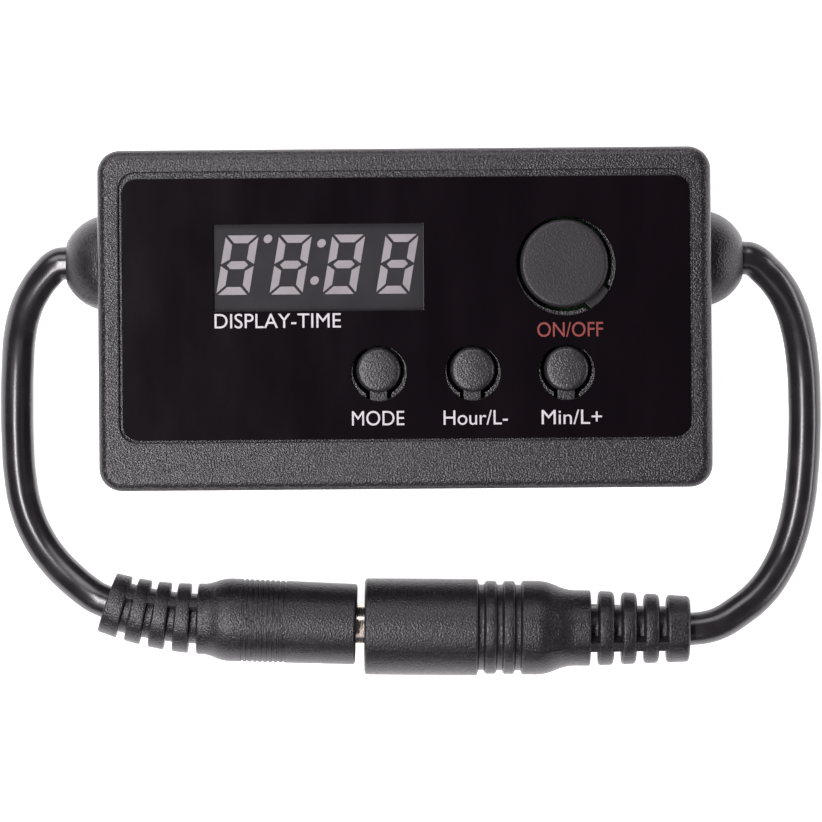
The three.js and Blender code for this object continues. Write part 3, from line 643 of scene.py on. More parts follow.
@dataclass(frozen=True)
class PlatedMetal(Finish):
    """Plated or bare metal with fine turning marks and a slight stain."""

    stain: Colour
    rough: tuple[float, float] = (0.12, 0.3)

    def dress(self) -> Nodes:
        """Makes a metal with marks across its axis.

        Returns:
            The nodes.
        """
        nodes = Nodes(self.name, self.rough[0], metallic=1.0)
        marks = nodes.noise(size=0.12, detail=2.0, place=nodes.stretched((1.0, 0.08, 0.08)))
        stains = nodes.noise(size=1.5, detail=3.0)
        nodes.colour(nodes.ramp(stains, [(0.35, self.stain), (0.6, self.colour)]))
        nodes.roughness(nodes.range(marks, (0.3, 0.7), self.rough))
        nodes.bump(marks, 0.002)
        return nodes


@dataclass(frozen=True)
class SmoothPlastic(Finish):
    """Plain moulded plastic, lacquer or epoxy with a faint flow pattern."""

    rough: tuple[float, float] = (0.35, 0.5)
    variation: float = 0.12
    texture: float = 0.003

    def dress(self) -> Nodes:
        """Makes a near-plain colour with a fine skin.

        Returns:
            The nodes.
        """
        nodes = Nodes(self.name, self.rough[0])
        flow = nodes.noise(size=2.5, detail=3.0)
        deep, pale = self.tint(1 - self.variation), self.tint(1 + self.variation)
        nodes.colour(nodes.ramp(flow, [(0.3, deep), (0.7, pale)]))
        nodes.roughness(nodes.range(flow, (0.3, 0.7), self.rough))
        nodes.bump(nodes.noise(size=0.15, detail=2.0), self.texture)
        return nodes


@dataclass(frozen=True)
class CircuitLaminate(Finish):
    """Green solder mask with copper tracks that show through it."""

    track: Colour

    def dress(self) -> Nodes:
        """Makes tracks on a grid under a gloss mask.

        Returns:
            The nodes.
        """
        nodes = Nodes(self.name, 0.35)
        bricks = nodes.tree.nodes.new("ShaderNodeTexBrick")
        bricks.inputs["Scale"].default_value = 1 / (6.0 * MM)
        bricks.inputs["Mortar Size"].default_value = 0.06
        for socket, colour in (("Color1", self.colour), ("Color2", self.colour), ("Mortar", self.track)):
            bricks.inputs[socket].default_value = (*colour, 1.0)
        nodes.link(nodes.place, bricks, "Vector")
        nodes.colour(bricks.outputs["Color"])
        nodes.bump(bricks.outputs["Fac"], 0.02)
        return nodes


@dataclass(frozen=True)
class ClearSheet(Finish):
    """Thin clear sheet that is seen only by a slight veil and its gloss."""

    alpha: float
    roughness: float = 0.06

    def dress(self) -> Nodes:
        """Makes a nearly invisible gloss with a faint waviness.

        Returns:
            The nodes.
        """
        nodes = Nodes(self.name, self.roughness)
        nodes.shader.inputs["Alpha"].default_value = self.alpha
        waves = nodes.noise(size=4.0, detail=2.0)
        nodes.colour(nodes.ramp(waves, [(0.35, self.colour), (0.65, self.tint(1.2))]))
        nodes.bump(waves, 0.002)
        return nodes


@dataclass(frozen=True)
class PrintedInk(Finish):
    """Screen-printed ink with slightly uneven cover."""

    def dress(self) -> Nodes:
        """Makes an even ink with a fine mottle.

        Returns:
            The nodes.
        """
        nodes = Nodes(self.name, 0.45)
        cover = nodes.noise(size=0.3, detail=3.0)
        nodes.colour(nodes.ramp(cover, [(0.3, self.tint(0.82)), (0.55, self.colour)]))
        nodes.roughness(nodes.range(cover, (0.3, 0.7), (0.38, 0.55)))
        return nodes


HOUSING = GrainedPlastic("housing_grain", (0.012, 0.0104, 0.012), (0.032, 0.0285, 0.0323), grain=0.2,
                         depth=0.085, rough=(0.2, 0.3), specular=0.42)
KEY_TOP = GrainedPlastic("key_grain", (0.018, 0.016, 0.0183), (0.03, 0.027, 0.031), grain=0.2,
                         depth=0.035, rough=(0.34, 0.46), specular=0.3)
SMALL_KEY_TOP = GrainedPlastic("small_key_grain", (0.012, 0.0107, 0.0123), (0.03, 0.0275, 0.0305),
                               grain=0.22, depth=0.06, rough=(0.28, 0.4), specular=0.5)
MOULDED = GrainedPlastic("moulded_grain", (0.009, 0.0075, 0.0092), (0.024, 0.0215, 0.0245), grain=0.2,
                         depth=0.075, rough=(0.26, 0.38), specular=0.45)
JACKET = CordJacket("cord_jacket", (0.010, 0.0085, 0.0105))
LABEL = GlossFilm("label_film", (0.0035, 0.0018, 0.0033))
WHITE_INK = PrintedInk("white_ink", (0.50, 0.485, 0.50))
RED_INK = PrintedInk("red_ink", (0.19, 0.02, 0.014))
FACE_GREY = SmoothPlastic("reflector_grey", (0.0155, 0.0142, 0.0178), rough=(0.75, 0.85), variation=0.04,
                          texture=0.002)
EPOXY = SmoothPlastic("display_epoxy", (0.30, 0.281, 0.291), rough=(0.3, 0.4), variation=0.05)
PANE = ClearSheet("clear_acrylic", (0.02, 0.018, 0.02), 0.06)
BLACK = SmoothPlastic("black_component", (0.012, 0.012, 0.013))
WHITE = SmoothPlastic("switch_plunger", (0.62, 0.6, 0.55))
NICKEL = PlatedMetal("nickel", (0.74, 0.69, 0.62), (0.60, 0.53, 0.44))
STEEL = PlatedMetal("zinc_steel", (0.62, 0.61, 0.58), (0.48, 0.46, 0.42), rough=(0.2, 0.4))
CAN = PlatedMetal("can_aluminium", (0.72, 0.73, 0.74), (0.6, 0.6, 0.6), rough=(0.25, 0.4))
BOARD = CircuitLaminate("board_laminate", (0.008, 0.07, 0.022), (0.03, 0.14, 0.045))
RED_WIRE = SmoothPlastic("red_wire", (0.4, 0.015, 0.012), rough=(0.3, 0.45))
BLACK_WIRE = SmoothPlastic("black_wire", (0.01, 0.01, 0.011), rough=(0.3, 0.45))
INSERT = SmoothPlastic("connector_insert", (0.014, 0.014, 0.015))


# ---- Cords -----------------------------------------------------------------------------------

Point = tuple[float, float, float]


@dataclass(frozen=True)
class Cord:
    """A short round cord, from its bush to its connector's strain relief."""

    node: str
    route: tuple[Point, ...]
    diameter: float = 3.95
    entry: float = 1.1  # how far each end runs into the piece that holds it
    steps: int = 9  # between two points of the route
    facets: int = 12  # on a quarter of its turn

    def _ends_and_route(self) -> list[Vector]:
        """Gives the route with its buried ends.

        Returns:
            The points in millimetres.
        """
        points = [Vector(p) for p in self.route]
        first = points[0] + (points[0] - points[1]).normalized() * self.entry
        last = points[-1] + (points[-1] - points[-2]).normalized() * self.entry
        return [first, *points, last]

    def _drawn(self, thickness: float) -> Shape:
        """Draws the smooth curve through the route: a bare line, or a tube with a thickness.

        Args:
            thickness: the tube's diameter, or 0.

        Returns:
            The line or the tube.
        """
        curve = bpy.data.curves.new("scratch", "CURVE")
        curve.dimensions = "3D"
        curve.twist_mode = "MINIMUM"
        curve.resolution_u = self.steps
        curve.bevel_depth = thickness / 2
        curve.bevel_resolution = self.facets
        curve.use_fill_caps = True
        route = self._ends_and_route()
        spline = curve.splines.new("BEZIER")
        spline.bezier_points.add(len(route) - 1)
        for point, place in zip(spline.bezier_points, route):
            point.co = place
            point.handle_left_type = point.handle_right_type = "AUTO"
        return Shape.of_curve(curve)

    def centreline(self) -> list[list[float]]:
        """Gives the points down the cord's middle, in metres."""
        line = self._drawn(0.0)
        return [list(vert.co * MM) for vert in line.bm.verts]

    def make(self, body: str | None) -> bpy.types.Object:
        """Makes the cord.

        Args:
            body: the body that it rides on, or None where it rides on none.

        Returns:
            The cord.
        """
        shape = self._drawn(self.diameter)
        bmesh.ops.recalc_face_normals(shape.bm, faces=shape.bm.faces)
        return shape.finished(f"{self.node}_jacket", JACKET, body, "cord_pvc", [self.node], weighted=False)

    def declare(self) -> None:
        """Works out the points down the cord's middle, and does nothing more with them.
        """
        line = self.centreline()


OUTPUT_CORD = Cord("output_cord", (
    (-40.35, 7.1, 11), (-41.2, 7.0, 10.9), (-42.8, 5.7, 10.3), (-44.4, 3.6, 9.3), (-45.4, 1.6, 8.2),
    (-46.2, -1.2, 6.6), (-46.65, -5.2, 4.9), (-46.85, -9.6, 3.7), (-46.85, -14.0, 3.1),
    (-46.6, -18.4, 2.9), (-45.9, -22.2, 3.05), (-44.5, -25.6, 3.5), (-42.5, -28.5, 4.15),
    (-40.2, -30.8, 4.9), (-38.1, -32.45, 5.6), (-37.3, -32.95, 5.8), (-36.45, -33.33, 5.9),
))
INPUT_CORD = Cord("input_cord", (
    (40.35, 7.1, 11), (41.3, 6.98, 10.9), (43.1, 5.6, 10.2), (44.8, 3.7, 9.4), (46.1, 1.4, 8.3),
    (47.0, -1.2, 7.0), (47.75, -5.2, 5.3), (48.05, -9.9, 4.0), (48.05, -14.2, 3.3),
    (47.8, -18.6, 3.0), (47.25, -22.8, 2.95), (46.2, -26.8, 3.05), (44.6, -30.3, 3.4),
    (42.4, -33.2, 4.1), (39.6, -35.4, 4.9), (37.4, -36.65, 5.5), (35.7, -37.12, 5.8),
    (34.25, -37.26, 5.9),
))


# ---- Housing ---------------------------------------------------------------------------------


@dataclass(frozen=True)
class Key:
    """A key cut from the front cover: a cap on a flexible arm."""

    name: str
    rise_edge: float  # the rounding of the cap's rim
    arm_width: float
    arm_length: float
    arm_angle: float
    hole_shift: tuple[float, float]
    finish: Finish
    crown: float = 0.0  # how far the cap's middle stands over its rim
    arm_thickness: float = 1.0
    hinge_gap: float = 0.3
    slot_gap: float = 0.45
    stem: float = 1.6
    stem_edge: float = 0.15
    skirt_edge: float = 0.1
    arm_edge: float = 0.12
    shoulder: tuple[float, float] = (0.55, 0.65)  # where the crown turns down, as shares of its size
    shoulder_edge: float = 0.3

    @property
    def node(self) -> str:
        """Gives the frame node that the key stands for. The body that it rides on has the same name."""
        return f"{self.name}_key"

    @property
    def centre(self) -> Vector:
        """Gives the middle of the cap, from the plunger under it."""
        low, high = box_of(f"{self.name}_switch_plunger")
        return (low + high) / 2

    @property
    def radius(self) -> float:
        """Gives the cap's radius."""
        return self.centre.x - box_of(self.node)[0].x

    @property
    def levels(self) -> tuple[float, float]:
        """Gives the stem's foot and the cap's top."""
        low, high = box_of(self.node)
        return low.z, high.z

    def arm(self, top: float, gap: float, length: float, edge: float = 0.0) -> Shape:
        """Draws the arm, or with a gap round it the channel that it lies in.

        Args:
            top: the level of its top.
            gap: the room round it.
            length: from the cap's middle to its end.
            edge: the rounding of its edges.

        Returns:
            The arm.
        """
        half = self.arm_width / 2 + gap
        depth = self.arm_thickness + 3 * gap
        arm = Shape.block((0, -half, top - depth), (length, half, top + 3 * gap), edge)
        turn = Matrix.Rotation(math.radians(self.arm_angle), 4, "Z")
        return arm.placed(Matrix.Translation((self.centre.x, self.centre.y, 0)) @ turn)

    def slot(self, levels: tuple[float, float], arm_top: float) -> list[Shape]:
        """Draws the shapes that cut the key free from the cover's plate."""
        ring = Shape.rod(self.centre.x, self.centre.y, self.radius + self.slot_gap, levels, ROUND_STEPS)
        return [ring, self.arm(arm_top, self.slot_gap, self.arm_length + self.slot_gap)]

    def make(self, arm_top: float) -> bpy.types.Object:
        """Makes the key.

        Args:
            arm_top: the level of the arm's top.

        Returns:
            The key.
        """
        foot, top = self.levels
        under = arm_top - self.arm_thickness
        rim, (out, up) = self.rise_edge, self.shoulder
        profile = [
            Corner(foot, 0.0),
            Corner(foot, self.stem, self.stem_edge),
            Corner(under, self.stem),
            Corner(under, self.radius, self.skirt_edge),
            Corner(top - self.crown, self.radius, rim),
            Corner(top - self.crown * (1 - up), self.radius * out,
                   self.radius * self.shoulder_edge if self.crown else 0.0),
            Corner(top, 0.0),
        ]
        upright = Matrix.Rotation(math.radians(-90), 4, "Y")
        cap = Shape.turned(profile).placed(Matrix.Translation((self.centre.x, self.centre.y, 0)) @ upright)
        arm = self.arm(arm_top, 0.0, self.arm_length - self.hinge_gap, self.arm_edge)
        return cap.add(arm).finished(f"{self.name}_button", self.finish, self.node, "keys", [self.node])


@dataclass(frozen=True)
class Housing:
    """The box's two shells, the recess for the label and the slots for the keys."""

    keys: tuple[Key, ...]
    corner: float = 2.7
    edge: float = 1.25
    wall: float = 1.8
    plate: float = 2.0
    parting: float = 0.2
    tongue: float = 0.7
    tongue_gap: float = 0.15
    tongue_height: float = 1.2
    recess_margin: tuple[float, float, float, float] = (0.3, 0.3, 0.25, 0.7)
    recess_rim: float = 0.16
    face_margin: float = 0.05  # between the rounded rim and the flat of the face
    display_gap: float = 0.2
    arm_drop: float = 0.1
    boss: float = 2.6
    boss_inset: float = 4.2
    post: float = 2.2
    boss_root: float = 0.5
    neck_gap: float = 0.3
    neck: float = 3.8
    case_pilot: tuple[float, float] = (1.1, 7.0)  # radius and depth
    board_pilot: tuple[float, float] = (0.85, 5.0)
    case_hole: float = 1.3
    head_height: float = 1.4
    head_gap: float = 0.3

    @property
    def outline(self) -> Outline:
        """Gives the box's outline."""
        return Outline.of("front_cover", self.corner)

    @property
    def face(self) -> float:
        """Gives the level of the box's face."""
        return box_of("front_cover")[1].z

    @property
    def split(self) -> float:
        """Gives the level where the shells part."""
        return box_of("front_cover")[0].z - self.parting

    @property
    def floor(self) -> float:
        """Gives the level of the recess's floor, which the label lies on."""
        return box_of("label_overlay")[0].z

    @property
    def arm_top(self) -> float:
        """Gives the level of the keys' arms."""
        return self.floor - self.arm_drop

    def _inside(self) -> Outline:
        """Gives the outline of the walls' inner face."""
        return self.outline.grown(-self.wall)

    def _body(self) -> Shape:
        """Draws the whole box as one block with rounded corners and rims.

        Returns:
            The block.
        """
        block = Shape.slab(self.outline, (0.0, self.face), steps=12)
        rims = (0.0, self.face)
        return block.round_edges(
            lambda a, b: abs(a.z - b.z) < TOUCH and min(abs(a.z - z) for z in rims) < TOUCH,
            self.edge, steps=6)

    def _neck_holes(self) -> Shape:
        """Draws the bore through both side walls for the cord bushes' necks.

        Returns:
            The bar that cuts them.
        """
        low, high = box_of("output_cord_bush")
        reach = self.outline.right + PAST
        bore = Shape.rod(0, 0, self.neck + self.neck_gap, (-reach, reach))
        lie = Matrix.Rotation(math.radians(90), 4, "Y")
        return bore.placed(Matrix.Translation((0, (low.y + high.y) / 2, (low.z + high.z) / 2)) @ lie)

    def _corners(self, inset_x: float, inset_y: float) -> list[tuple[float, float]]:
        """Gives four places in from the box's corners."""
        x, y = self.outline.right - inset_x, self.outline.top - inset_y
        return [(sx * x, sy * y) for sx in (-1, 1) for sy in (-1, 1)]

    def _bosses(self) -> list[tuple[float, float]]:
        """Gives the case screws' axes."""
        return self._corners(self.boss_inset, self.boss_inset)

    def _posts(self) -> list[tuple[float, float]]:
        """Gives the board screws' axes.

        Returns:
            Their places on the face.
        """
        low, high = box_of("board_screw_upper_right")
        middle = (low + high) / 2
        return self._corners(self.outline.right - middle.x, self.outline.top - middle.y)

    def _recess(self) -> Shape:
        """Draws the label's recess.

        Returns:
            The slab that cuts it.
        """
        left, right, bottom, top = self.recess_margin
        label = Outline.of("label_overlay", LABEL_CORNER)
        recess = Outline(label.left - left, label.right + right, label.bottom - bottom, label.top + top,
                         label.radius + left)
        return Shape.slab(recess, (self.floor, self.face + PAST))

    def _rods(self, places: Sequence[tuple[float, float]], radius: float,
              levels: tuple[float, float]) -> list[Shape]:
        """Draws an upright bar at each of some places."""
        return [Shape.rod(x, y, radius, levels) for x, y in places]

    def front(self) -> bpy.types.Object:
        """Makes the front cover.

        Returns:
            The cover.
        """
        outline, inside = self.outline, self._inside()
        start = self.split + self.parting
        shell = self._body().cut(Shape.slab(outline.grown(PAST), (-PAST, start)), self._recess())
        level, flat = self.face - TOUCH, outline.grown(-self.edge - self.face_margin)
        shell.round_edges(
            lambda a, b: all(p.z > level and abs(p.x) < flat.right and abs(p.y) < flat.top for p in (a, b)),
            self.recess_rim, steps=3)
        under_plate = self.face - self.plate
        rebate = inside.grown(self.tongue + self.tongue_gap)
        rebate_top = self.split + self.tongue_height + self.tongue_gap
        shell.cut(Shape.slab(inside, (0.0, under_plate)), Shape.slab(rebate, (0.0, rebate_top)))
        shell.cut(self._neck_holes())
        root = under_plate + self.boss_root
        board_top = box_of("main_circuit_board")[1].z
        shell.add(*self._rods(self._bosses(), self.boss, (self.split, root)))
        shell.add(*self._rods(self._posts(), self.post, (board_top, root)))
        display = Outline.of("display_reflector").grown(self.display_gap)
        through = (under_plate - PAST, self.face)
        shell.cut(Shape.slab(display, through))
        for key in self.keys:
            for slot in key.slot(through, self.arm_top):
                shell.cut(slot)
        for places, (radius, depth), level in ((self._bosses(), self.case_pilot, self.split),
                                               (self._posts(), self.board_pilot, board_top)):
            shell.cut(*self._rods(places, radius, (level - PAST, level + depth)))
        return shell.finished("front_shell", HOUSING, PLAIN_BODY, "housing", ["front_cover"])

    def back(self) -> bpy.types.Object:
        """Makes the back cover.

        Returns:
            The cover.
        """
        outline, inside = self.outline, self._inside()
        shell = self._body().cut(Shape.slab(outline.grown(PAST), (self.split, self.face + PAST)))
        shell.cut(Shape.slab(inside, (self.wall, self.face)))
        levels = (self.split - self.tongue_height, self.split + self.tongue_height)
        tongue = Shape.slab(inside.grown(self.tongue), levels)
        tongue.cut(Shape.slab(inside, (0.0, self.face)))
        shell.add(tongue)
        shell.add(*self._rods(self._bosses(), self.boss, (self.wall / 2, self.split)))
        shell.cut(self._neck_holes())
        low, high = box_of("case_screw_upper_right")
        head = (high.x - low.x) / 2 + self.head_gap
        for radius, top in ((self.case_hole, self.face), (head, low.z + self.head_height)):
            shell.cut(*self._rods(self._bosses(), radius, (-PAST, top)))
        return shell.finished("back_shell", HOUSING, PLAIN_BODY, "housing", ["back_cover"])


# ---- Label and display -----------------------------------------------------------------------


@dataclass(frozen=True)
class Legend:
    """One word or pair of words printed on the label."""

    name: str
    words: str
    left: float
    baseline: float
    width: float
    height: float
    ink: Finish
    weight: float = 0.0

    def make(self, level: float) -> bpy.types.Object:
        """Prints the legend.

        Args:
            level: the label's top.

        Returns:
            The printed words.
        """
        curve = bpy.data.curves.new("scratch", "FONT")
        curve.body = self.words
        curve.offset = self.weight
        curve.resolution_u = 5
        curve.extrude = INK_DEPTH
        shape = Shape.of_curve(curve, INK_WELD)
        low = min(v.co.x for v in shape.bm.verts)
        high = max(v.co.x for v in shape.bm.verts)
        across = self.width / (high - low)
        up = self.height / CAPITAL_HEIGHT
        bmesh.ops.scale(shape.bm, vec=(across, up, up), verts=shape.bm.verts)
        shift = (self.left - low * across, self.baseline, level + INK_DEPTH)
        bmesh.ops.translate(shape.bm, vec=shift, verts=shape.bm.verts)
        return shape.finished(self.name, self.ink, PLAIN_BODY, weighted=False)


@dataclass(frozen=True)
class Label:
    """The gloss film on the face, with its holes and its printing."""

    keys: tuple[Key, ...]
    hole_gap: float = 0.65
    pane_gap: float = 0.05
    rim: float = 0.05
    longest: float = 80.0  # of the rims that are rounded
    legends: tuple[Legend, ...] = (
        Legend("legend_display", "DISPLAY-TIME", -22.29, -0.98, 14.8, 1.72, WHITE_INK),
        Legend("legend_on_off", "ON/OFF", 15.5, -2.25, 7.72, 1.72, RED_INK, 0.002),
        Legend("legend_mode", "MODE", -6.28, -12.48, 6.13, 1.72, WHITE_INK),
        Legend("legend_hour", "Hour/L-", 4.45, -12.48, 7.52, 1.72, WHITE_INK),
        Legend("legend_minute", "Min/L+", 15.94, -12.5, 7.06, 1.72, WHITE_INK),
    )

    def make(self) -> list[bpy.types.Object]:
        """Makes the film and its legends.

        Returns:
            The film, then the legends.
        """
        low, high = box_of("label_overlay")
        film = Shape.slab(Outline.of("label_overlay", LABEL_CORNER), (low.z, high.z))
        through = (low.z - PAST, high.z + PAST)
        window = Outline.of("display_window").grown(self.pane_gap)
        film.cut(Shape.slab(window, through))
        for key in self.keys:
            x, y = key.centre.x + key.hole_shift[0], key.centre.y + key.hole_shift[1]
            film.cut(Shape.rod(x, y, key.radius + self.hole_gap, through, ROUND_STEPS))
        level = high.z - TOUCH
        film.round_edges(lambda a, b: min(a.z, b.z) > level and (a - b).length < self.longest,
                         self.rim, steps=2)
        pieces = [film.finished("label_film", LABEL, PLAIN_BODY, "label", ["label_overlay"])]
        return pieces + [legend.make(high.z) for legend in self.legends]


@dataclass(frozen=True)
class Display:
    """The four digits' segments and the dots, flush in the display's grey face."""

    count: int = 4
    pitch: float = 6.25
    shift: tuple[float, float] = (-0.1, 0.33)
    height: float = 6.97
    width: float = 3.85
    thickness: float = 0.92
    gap: float = 0.3
    tip: float = 0.06
    slant: float = 9.8
    lift: float = 0.015
    rise: float = 1.05  # of the segments over the epoxy block
    root: float = 0.15  # of the segments in the epoxy block
    edge: float = 0.05
    clearance: float = 0.05
    dot: float = 0.5
    dots: tuple[tuple[float, float], ...] = ((-6.3, 3.05), (0.08, 2.48), (-0.02, -1.88))

    def _bar(self, corners: Sequence[tuple[float, float]], levels: tuple[float, float]) -> Shape:
        """Draws one segment of a digit.

        Args:
            corners: its corners, anticlockwise.
            levels: its lower and upper level.

        Returns:
            The segment.
        """
        shape = Shape()
        verts = [shape.bm.verts.new((x, y, levels[0])) for x, y in corners]
        shape.bm.faces.new(verts)
        bmesh.ops.bevel(shape.bm, geom=verts, offset=self.tip, offset_type="OFFSET", affect="VERTICES",
                        segments=3, profile=0.5, material=-1)
        raised = bmesh.ops.extrude_face_region(shape.bm, geom=shape.bm.faces[:])
        tops = [v for v in raised["geom"] if isinstance(v, bmesh.types.BMVert)]
        bmesh.ops.translate(shape.bm, vec=(0, 0, levels[1] - levels[0]), verts=tops)
        bmesh.ops.recalc_face_normals(shape.bm, faces=shape.bm.faces)
        return shape

    def _digit(self, levels: tuple[float, float]) -> list[Shape]:
        """Draws a digit's seven segments, mitred where they meet, about the origin.

        Args:
            levels: their lower and upper level.

        Returns:
            The segments.
        """
        w, h, t, g = self.width / 2, self.height / 2, self.thickness, self.gap * math.sqrt(0.5)
        top = [(w - g, h), (g - w, h), (g + t - w, h - t), (w - t - g, h - t)]
        side = [(w, g / 2), (w, h - g), (w - t, h - t - g), (w - t, t / 2 + g)]
        reach = w - t / 2 - g
        middle = [(reach, 0), (reach - t / 2, t / 2), (t / 2 - reach, t / 2), (-reach, 0),
                  (t / 2 - reach, -t / 2), (reach - t / 2, -t / 2)]
        outlines = [middle]
        for sy in (1, -1):
            outlines.append([(x, sy * y) for x, y in top])
            outlines += [[(sx * x, sy * y) for x, y in side] for sx in (1, -1)]
        return [self._bar(outline, levels) for outline in outlines]

    def _lights(self, levels: tuple[float, float]) -> list[Shape]:
        """Draws all the segments and dots between two levels, leaning and in their places.

        Args:
            levels: their lower and upper level.

        Returns:
            The dots and the segments.
        """
        low, high = box_of("display_window")
        shapes = [Shape.rod(x, y, self.dot, levels, steps=40) for x, y in self.dots]
        for i in range(self.count):
            along = Matrix.Translation(((i - (self.count - 1) / 2) * self.pitch, 0, 0))
            shapes += [bar.placed(along) for bar in self._digit(levels)]
        lean = Matrix.Identity(4)
        lean[0][1] = math.tan(math.radians(self.slant))
        middle = (low + high) / 2
        place = Matrix.Translation((middle.x + self.shift[0], middle.y + self.shift[1], 0)) @ lean
        return [shape.placed(place) for shape in shapes]

    def make(self) -> None:
        """Makes the epoxy block with its segments and dots, and the grey face that they fill."""
        low, high = box_of("display_light_guide")
        shoulder = high.z - self.rise
        guide = Shape.block(low, (high.x, high.y, shoulder))
        guide.add(*self._lights((shoulder - self.root, high.z + self.lift)))
        guide.finished("display_segments", EPOXY, PLAIN_BODY, "display_segments", ["display_light_guide"],
                       weighted=False)
        back, front = box_of("display_reflector")
        face = Shape.block(back, front, self.edge)
        room = Outline.of("display_light_guide").grown(self.clearance)
        face.cut(Shape.slab(room, (back.z - PAST, shoulder + self.clearance)))
        face.cut(*self._lights((shoulder - PAST, front.z + PAST)))
        face.finished("display_face", FACE_GREY, PLAIN_BODY, "display_face", ["display_reflector"],
                      weighted=False)


# ---- Cord bushes -----------------------------------------------------------------------------


@dataclass(frozen=True)
class Bush:
    """A domed strain relief that grips the side wall between its dome and its flange."""

    side: Side
    body: str = PLAIN_BODY
    neck: float = 3.8
    flange: float = 5.0
    flange_thickness: float = 1.5
    wall: float = 1.8
    wall_gap: float = 0.3
    base: float = 5.6
    sphere: float = 5.75
    end: float = 2.4
    bore: float = 2.08
    bore_depth: float = 1.65
    lip_edge: float = 0.12
    flange_edge: float = 0.2
    bore_edge: float = 0.08
    steps: int = 14

    @property
    def node(self) -> str:
        """Gives the frame node that the bush stands for."""
        return f"{self.side.name.lower()}_cord_bush"

    def _dome(self, base: float) -> list[Corner]:
        """Gives the dome's arc from its base to its end.

        Args:
            base: how far along its axis the dome starts.

        Returns:
            The arc's corners.
        """
        drop = math.sqrt(self.sphere**2 - self.base**2)
        start, stop = math.asin(self.base / self.sphere), math.asin(self.end / self.sphere)
        turns = [start + (stop - start) * i / self.steps for i in range(self.steps + 1)]
        return [Corner(base - drop + self.sphere * math.cos(t), self.sphere * math.sin(t)) for t in turns]

    def make(self) -> bpy.types.Object:
        """Makes the bush.

        Returns:
            The bush.
        """
        low, high = box_of(self.node)
        inside = min(abs(low.x), abs(high.x))
        seat = inside + self.flange_thickness
        base = seat + self.wall + 2 * self.wall_gap
        dome = self._dome(base)
        lip = dome[-1].along
        dome[-1] = Corner(lip, self.end, self.lip_edge)
        profile = [
            Corner(inside, 0.0),
            Corner(inside, self.flange, self.flange_edge),
            Corner(seat, self.flange, self.flange_edge),
            Corner(seat, self.neck),
            Corner(base, self.neck),
            Corner(base, self.base - self.lip_edge),
            *dome,
            Corner(lip, self.bore, self.bore_edge),
            Corner(lip - self.bore_depth, self.bore),
            Corner(lip - self.bore_depth, 0.0),
        ]
        turn = Matrix.Rotation(math.pi if self.side is Side.OUTPUT else 0.0, 4, "Z")
        place = Matrix.Translation((0, (low.y + high.y) / 2, (low.z + high.z) / 2)) @ turn
        shape = Shape.turned(profile).placed(place)
        return shape.finished(f"{self.side.name.lower()}_bush", MOULDED, self.body, "moulded_pvc",
                              [self.node], weighted=False)


# ---- Connectors ------------------------------------------------------------------------------

CONNECTOR_TURN = math.radians(0.88)  # clockwise, from X to the connectors' axis
CONNECTOR = Matrix.Translation((-5.13, -36.66, 5.9)) @ Matrix.Rotation(-CONNECTOR_TURN, 4, "Z")
BLADE = 9.0  # how far a flat cutting bar reaches from the axis, past any connector's radius
CONE_EDGE = 0.9  # the rounding of a cone's ends
FOOT_EDGE = 0.25  # where a cone meets its strain relief


def bore_along(start: float, end: float, radius: float) -> Shape:
    """Draws the round shape along X that cuts a bore between two places."""
    return Shape.turned([Corner(start, 0.0), Corner(start, radius), Corner(end, radius), Corner(end, 0.0)])


@dataclass(frozen=True)
class Relief:
    """A slotted strain relief: rings on a core, with webs across the slots."""

    rings: tuple[float, ...]
    start: float
    start_radius: float
    end_radius: float
    web_angle: float
    gap: float = 0.9
    core: float = 2.7
    web_width: float = 1.25
    web_drop: float = 0.06
    web_root: float = 0.5  # of the webs in the moulding before the first slot
    ring_edge: float = 0.3
    core_edge: float = 0.12
    bore: float = 2.08
    bore_edge: float = 0.1
    bore_depth: float = 1.4

    @property
    def length(self) -> float:
        """Gives the relief's length."""
        return sum(self.rings) + self.gap * len(self.rings)

    @property
    def end(self) -> float:
        """Gives how far along the relief ends."""
        return self.start + self.length

    def _radius(self, along: float) -> float:
        """Gives the rings' radius at a distance along the axis."""
        share = (along - self.start) / self.length
        return self.start_radius + (self.end_radius - self.start_radius) * share

    def profile(self) -> list[Corner]:
        """Gives the relief's profile, with the bore that the cord comes out of.

        Returns:
            The corners, from the first slot to the axis.
        """
        corners = []
        along = self.start
        for ring in self.rings:
            first, last = along + self.gap, along + self.gap + ring
            corners += [Corner(at, self.core, self.core_edge) for at in (along, first)]
            corners += [Corner(at, self._radius(at), self.ring_edge) for at in (first, last)]
            along = last
        floor = along - self.bore_depth
        corners += [Corner(along, self.bore, self.bore_edge), Corner(floor, self.bore), Corner(floor, 0.0)]
        return corners

    def webs(self) -> Shape:
        """Draws the webs that join the rings across the slots, as one bar through the relief.

        Returns:
            The bar.
        """
        root, stop = self.start - self.web_root, self.end - self.rings[-1] / 2
        cone = Shape.turned([Corner(root, 0.0), Corner(root, self._radius(self.start) - self.web_drop),
                             Corner(stop, self._radius(stop) - self.web_drop), Corner(stop, 0.0)])
        half = self.web_width / 2
        bar = Shape.block((root - PAST, -half, -BLADE), (self.end, half, BLADE))
        return cone.common(bar.placed(Matrix.Rotation(math.radians(-self.web_angle), 4, "X")))


